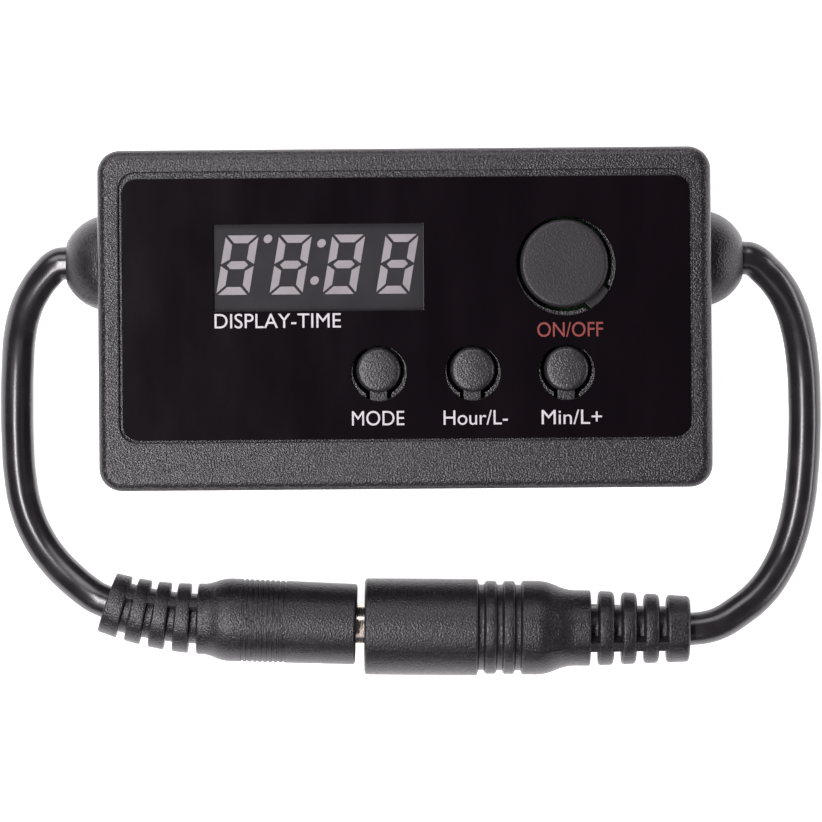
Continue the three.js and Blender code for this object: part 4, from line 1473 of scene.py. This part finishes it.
@dataclass(frozen=True)
class Socket:
    """The input cord's barrel socket: its moulding, its insert and its contacts."""

    relief: Relief = Relief((1.9, 1.8, 1.8, 2.8), 27.1, 4.55, 3.95, -30, ring_edge=0.45)
    radius: float = 5.8
    rim: float = 0.4
    neck_radius: float = 5.65
    neck_end: float = 21.6
    cone_end: float = 24.3
    grooves: int = 3
    groove_start: float = 13.5
    groove_pitch: float = 2.2
    groove_width: float = 1.0
    groove_depth: float = 0.65
    groove_slope: float = 0.2  # the run of a groove's side, as a share of its width
    groove_edges: tuple[float, float] = (0.18, 0.12)  # the roundings of its rim and its floor
    ridge_drop: float = 0.2
    seam: float = 0.06  # half of the parting line's width
    seam_rise: float = 0.05
    seam_start: float = 0.5
    bore: float = 4.2
    bore_depth: float = 13.95

    def _grooves(self) -> list[Corner]:
        """Gives the three grooves and the ridges between them.

        Returns:
            Their corners.
        """
        corners = []
        rim, edge = self.groove_edges
        floor, slope = self.radius - self.groove_depth, self.groove_width * self.groove_slope
        for i in range(self.grooves):
            start = self.groove_start + i * self.groove_pitch
            end = start + self.groove_width
            before = self.radius - (self.ridge_drop if i else 0.0)
            after = self.radius - self.ridge_drop if i < self.grooves - 1 else self.neck_radius
            corners += [Corner(start, before, rim), Corner(start + slope, floor, edge),
                        Corner(end - slope, floor, edge), Corner(end, after, rim)]
        return corners

    def _seam(self, profile: list[Corner]) -> Shape:
        """Draws the mould's parting line as a thin fin that follows the profile.

        Args:
            profile: the moulding's profile.

        Returns:
            The fin.
        """
        core, rise = self.relief.core, self.seam_rise
        raised = [Corner(c.along, c.radius + (rise if c.radius > core else 0.0), c.round) for c in profile]
        blade = Shape.block((self.seam_start, -self.seam, -BLADE), (self.relief.end + PAST, self.seam, BLADE))
        turn = Matrix.Rotation(math.radians(-self.relief.web_angle), 4, "X")
        return Shape.turned(raised).common(blade.placed(turn))

    def make(self) -> bpy.types.Object:
        """Makes the socket's moulding.

        Returns:
            The moulding.
        """
        relief = self.relief
        profile = [
            Corner(0.0, 0.0),
            Corner(0.0, self.radius, self.rim),
            *self._grooves(),
            Corner(self.neck_end, self.neck_radius, CONE_EDGE),
            Corner(self.cone_end, relief.start_radius, CONE_EDGE),
            Corner(relief.start, relief.start_radius, FOOT_EDGE),
            *relief.profile(),
        ]
        body = Shape.turned(profile).add(relief.webs(), self._seam(profile))
        body.cut(bore_along(-PAST, self.bore_depth, self.bore))
        return body.placed(CONNECTOR).finished("socket_body", MOULDED, PLAIN_BODY, "moulded_pvc",
                                               ["socket_moulding"])


@dataclass(frozen=True)
class Plug:
    """The output cord's barrel plug: a ribbed moulding, bent a little at its relief."""

    relief: Relief = Relief((1.77, 1.77, 1.77, 2.15), 19.1, 4.25, 3.7, 30, core=3.0, ring_edge=0.2)
    mouth: float = 1.0
    front_radius: float = 4.85
    rear_radius: float = 5.0
    rim: float = 0.35
    grip_end: float = 15.9
    cone_end: float = 17.8
    lift: float = 0.25
    lean: float = 1.6
    bend: float = 18.5
    ribs: int = 9
    rib_start: float = 8.5
    rib_pitch: float = 0.62
    rib_width: float = 0.36
    rib_height: float = 0.13
    rib_slope: float = 0.04
    cone_edge: float = 0.6
    bore: float = 2.9
    bore_depth: float = 6.15

    def _ribs(self) -> list[Corner]:
        """Gives the grip's fine ribs, as shallow grooves between them.

        Returns:
            Their corners.
        """
        corners = []
        for i in range(self.ribs):
            start = self.rib_start + i * self.rib_pitch
            radius = self._radius(start)
            floor = radius - self.rib_height
            end = start + self.rib_pitch - self.rib_width
            corners += [Corner(start, radius), Corner(start + self.rib_slope, floor),
                        Corner(end - self.rib_slope, floor), Corner(end, radius)]
        return corners

    def _radius(self, along: float) -> float:
        """Gives the grip's radius at a distance behind the front."""
        return self.front_radius + (self.rear_radius - self.front_radius) * along / self.grip_end

    def _bent(self, point: Vector) -> Vector:
        """Gives where a point of the straight moulding goes when its relief is bent.

        Args:
            point: a point of the moulding, drawn along +X from its front face.

        Returns:
            Its place in the connectors' frame.
        """
        lean = math.radians(self.lean)
        bend = math.radians(self.bend) - lean
        radius = self.relief.length / bend
        straight = min(point.x, self.relief.start)
        turn = max(point.x - self.relief.start, 0.0) / self.relief.length * bend
        back = straight * math.cos(lean) + radius * (math.sin(lean + turn) - math.sin(lean))
        up = straight * math.sin(lean) + radius * (math.cos(lean) - math.cos(lean + turn))
        heading = lean + turn
        return Vector((
            -self.mouth - back + point.y * math.sin(heading),
            self.lift + up + point.y * math.cos(heading),
            point.z,
        ))

    def make(self) -> bpy.types.Object:
        """Makes the plug's moulding.

        Returns:
            The moulding.
        """
        relief = self.relief
        profile = [
            Corner(0.0, 0.0),
            Corner(0.0, self.front_radius, self.rim),
            *self._ribs(),
            Corner(self.grip_end, self.rear_radius, CONE_EDGE),
            Corner(self.cone_end, relief.start_radius, self.cone_edge),
            Corner(relief.start, relief.start_radius, FOOT_EDGE),
            *relief.profile(),
        ]
        body = Shape.turned(profile).add(relief.webs()).mapped(self._bent)
        bmesh.ops.recalc_face_normals(body.bm, faces=body.bm.faces)
        body.cut(bore_along(-self.mouth - self.bore_depth, PAST, self.bore))
        return body.placed(CONNECTOR).finished("plug_body", MOULDED, PLUG_BODY, "moulded_pvc",
                                               ["plug_moulding"])


@dataclass(frozen=True)
class Tube:
    """A round part on the connectors' axis: a barrel, a liner, a sleeve or a contact."""

    node: str
    name: str
    inner: float
    finish: Finish
    slot: str
    body: str
    edge: float = 0.06

    def make(self) -> bpy.types.Object:
        """Makes the tube with the outer size and the place of its frame node.

        Returns:
            The tube.
        """
        low, high = box_of(self.node)
        outer = (high.z - low.z) / 2
        middle = CONNECTOR.inverted() @ ((low + high) / 2)
        half = ((high.x - low.x) / 2 - outer * math.sin(CONNECTOR_TURN)) / math.cos(CONNECTOR_TURN)
        start, end = middle.x - half, middle.x + half
        ring = [Corner(at, radius, self.edge) for at, radius in (
            (start, self.inner), (start, outer), (end, outer), (end, self.inner))]
        shape = Shape.turned(ring, closed=True).placed(CONNECTOR)
        return shape.finished(self.name, self.finish, self.body, self.slot, [self.node], weighted=False)


TUBES = (
    Tube("plug_barrel", "plug_barrel_shell", 2.4, NICKEL, "contact_nickel", PLUG_BODY),
    Tube("plug_barrel_liner", "plug_liner", 1.8, INSERT, "connector_plastic", PLUG_BODY),
    Tube("plug_centre_contact", "plug_contact", 1.15, NICKEL, "contact_nickel", PLUG_BODY),
)


# ---- Finishes of the frame's own nodes -------------------------------------------------------

SLOT_FINISHES = {
    "clear_window": PANE,
    "switch_plungers": WHITE,
    "board": BOARD,
    "component_black": BLACK,
    "capacitor_can": CAN,
    "steel": STEEL,
    "wire_red": RED_WIRE,
    "wire_black": BLACK_WIRE,
    "connector_plastic": INSERT,
    "contact_nickel": NICKEL,
}


def dress_frame_nodes() -> None:
    """Gives each frame node that is still shown the finish of its material slot."""
    for part in frame["record"]["subparts"]:
        node = frame["nodes"][part["node"]]
        if not node.hide_render:
            node.data.materials.clear()
            node.data.materials.append(SLOT_FINISHES[part["material_slot"]].material())
            log.info("%-28s %s", node.name, part["material_slot"])


# ---- Studio ----------------------------------------------------------------------------------


@dataclass(frozen=True)
class Softbox:
    """A soft rectangular lamp that looks at a point near the object."""

    name: str
    place: Point
    width: float
    height: float
    power: float
    aim: Point = (0.0, -10.0, 10.0)
    colour: Colour = (1.0, 0.955, 1.0)

    def make(self) -> bpy.types.Object:
        """Makes the lamp.

        Returns:
            The lamp.
        """
        lamp = bpy.data.lights.new(self.name, "AREA")
        lamp.shape = "RECTANGLE"
        lamp.size, lamp.size_y = self.width * MM, self.height * MM
        lamp.energy = self.power
        lamp.color = self.colour
        light = in_scene(self.name, lamp)
        light.location = Vector(self.place) * MM
        light.rotation_euler = (Vector(self.aim) - Vector(self.place)).to_track_quat("-Z", "Y").to_euler()
        light.visible_camera = False
        return light


@dataclass(frozen=True)
class Studio:
    """The camera, the pale floor and the lights."""

    distance: float = 620.0  # from the box's face to the camera
    view_width: float = 96.25  # that the picture shows at the face
    sensor: float = 36.0
    centre: tuple[float, float] = (0.64, -10.83)
    roll: float = -0.45
    floor_size: float = 6000.0
    floor_glow: float = 0.9
    surroundings: Colour = (0.05, 0.047, 0.05)
    lights: tuple[Softbox, ...] = (
        Softbox("key_light", (-165.0, -140.0, 500.0), 520.0, 72.0, 3.4, aim=(0.0, -140.0, 10.0)),
        Softbox("front_light", (-120.0, -330.0, 330.0), 600.0, 120.0, 0.2),
        Softbox("right_light", (300.0, -20.0, 90.0), 260.0, 40.0, 0.3),
        Softbox("top_light", (-110.0, 330.0, 330.0), 600.0, 220.0, 1.75),
    )

    def camera(self, face: float) -> bpy.types.Object:
        """Makes the camera, straight above the object.

        Args:
            face: the level of the box's face.

        Returns:
            The camera.
        """
        data = bpy.data.cameras.new("camera")
        data.sensor_width = self.sensor
        data.lens = self.sensor * self.distance / self.view_width
        data.clip_start, data.clip_end = 0.01, 20.0
        camera = in_scene("camera", data)
        camera.location = Vector((*self.centre, face + self.distance)) * MM
        camera.rotation_euler = (0.0, 0.0, math.radians(self.roll))
        bpy.context.scene.camera = camera
        return camera

    def floor(self) -> bpy.types.Object:
        """Makes the floor, a plain pale sheet that the box lies on.

        Returns:
            The floor.
        """
        bm = bmesh.new()
        bmesh.ops.create_grid(bm, x_segments=1, y_segments=1, size=self.floor_size * MM / 2)
        mesh = bpy.data.meshes.new("floor")
        bm.to_mesh(mesh)
        bm.free()
        nodes = Nodes("floor_paper", 0.8)
        nodes.shader.inputs["Specular IOR Level"].default_value = 0.1
        nodes.colour(nodes.ramp(nodes.noise(size=40.0), [(0.3, (0.9, 0.9, 0.9)), (0.7, (0.93, 0.93, 0.93))]))
        nodes.shader.inputs["Emission Color"].default_value = (1.0, 1.0, 1.0, 1.0)
        nodes.shader.inputs["Emission Strength"].default_value = self.floor_glow
        mesh.materials.append(nodes.material)
        floor = in_scene("floor", mesh)
        return floor

    def light(self) -> None:
        """Makes the lamps and the dim surroundings."""
        for lamp in self.lights:
            lamp.make()
        world = bpy.data.worlds.new("surroundings")
        world.use_nodes = True
        background = world.node_tree.nodes["Background"]
        background.inputs["Color"].default_value = (*self.surroundings, 1.0)
        bpy.context.scene.world = world
        bpy.context.scene.view_settings.view_transform = "Standard"


# ---- The object ------------------------------------------------------------------------------

KEYS = (
    Key("on_off", 0.5, 3.0, 10.5, -45.0, (0.15, -0.25), KEY_TOP),
    *(Key(name, 0.5, 2.07, 7.0, -90.0, (0.0, -0.35), SMALL_KEY_TOP, crown=0.12)
      for name in ("mode", "hour", "minute")),
)


def main() -> None:
    """Builds the timer round its frame."""
    logging.basicConfig(level=logging.INFO, format="%(message)s")
    studio = Studio()
    housing = Housing(KEYS)
    studio.camera(housing.face)
    output_cord = OUTPUT_CORD.make(None)
    input_cord = INPUT_CORD.make(PLAIN_BODY)
    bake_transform(output_cord)
    studio.floor()
    studio.light()
    housing.front()
    housing.back()
    for key in KEYS:
        key.make(housing.arm_top)
    Label(KEYS).make()
    Display().make()
    output_bush, input_bush = (Bush(side).make() for side in Side)
    socket = Socket().make()
    plug = Plug().make()
    barrel, *_ = [tube.make() for tube in TUBES]
    dress_frame_nodes()
    OUTPUT_CORD.declare()
    INPUT_CORD.declare()


if __name__ == "__main__":
    main()
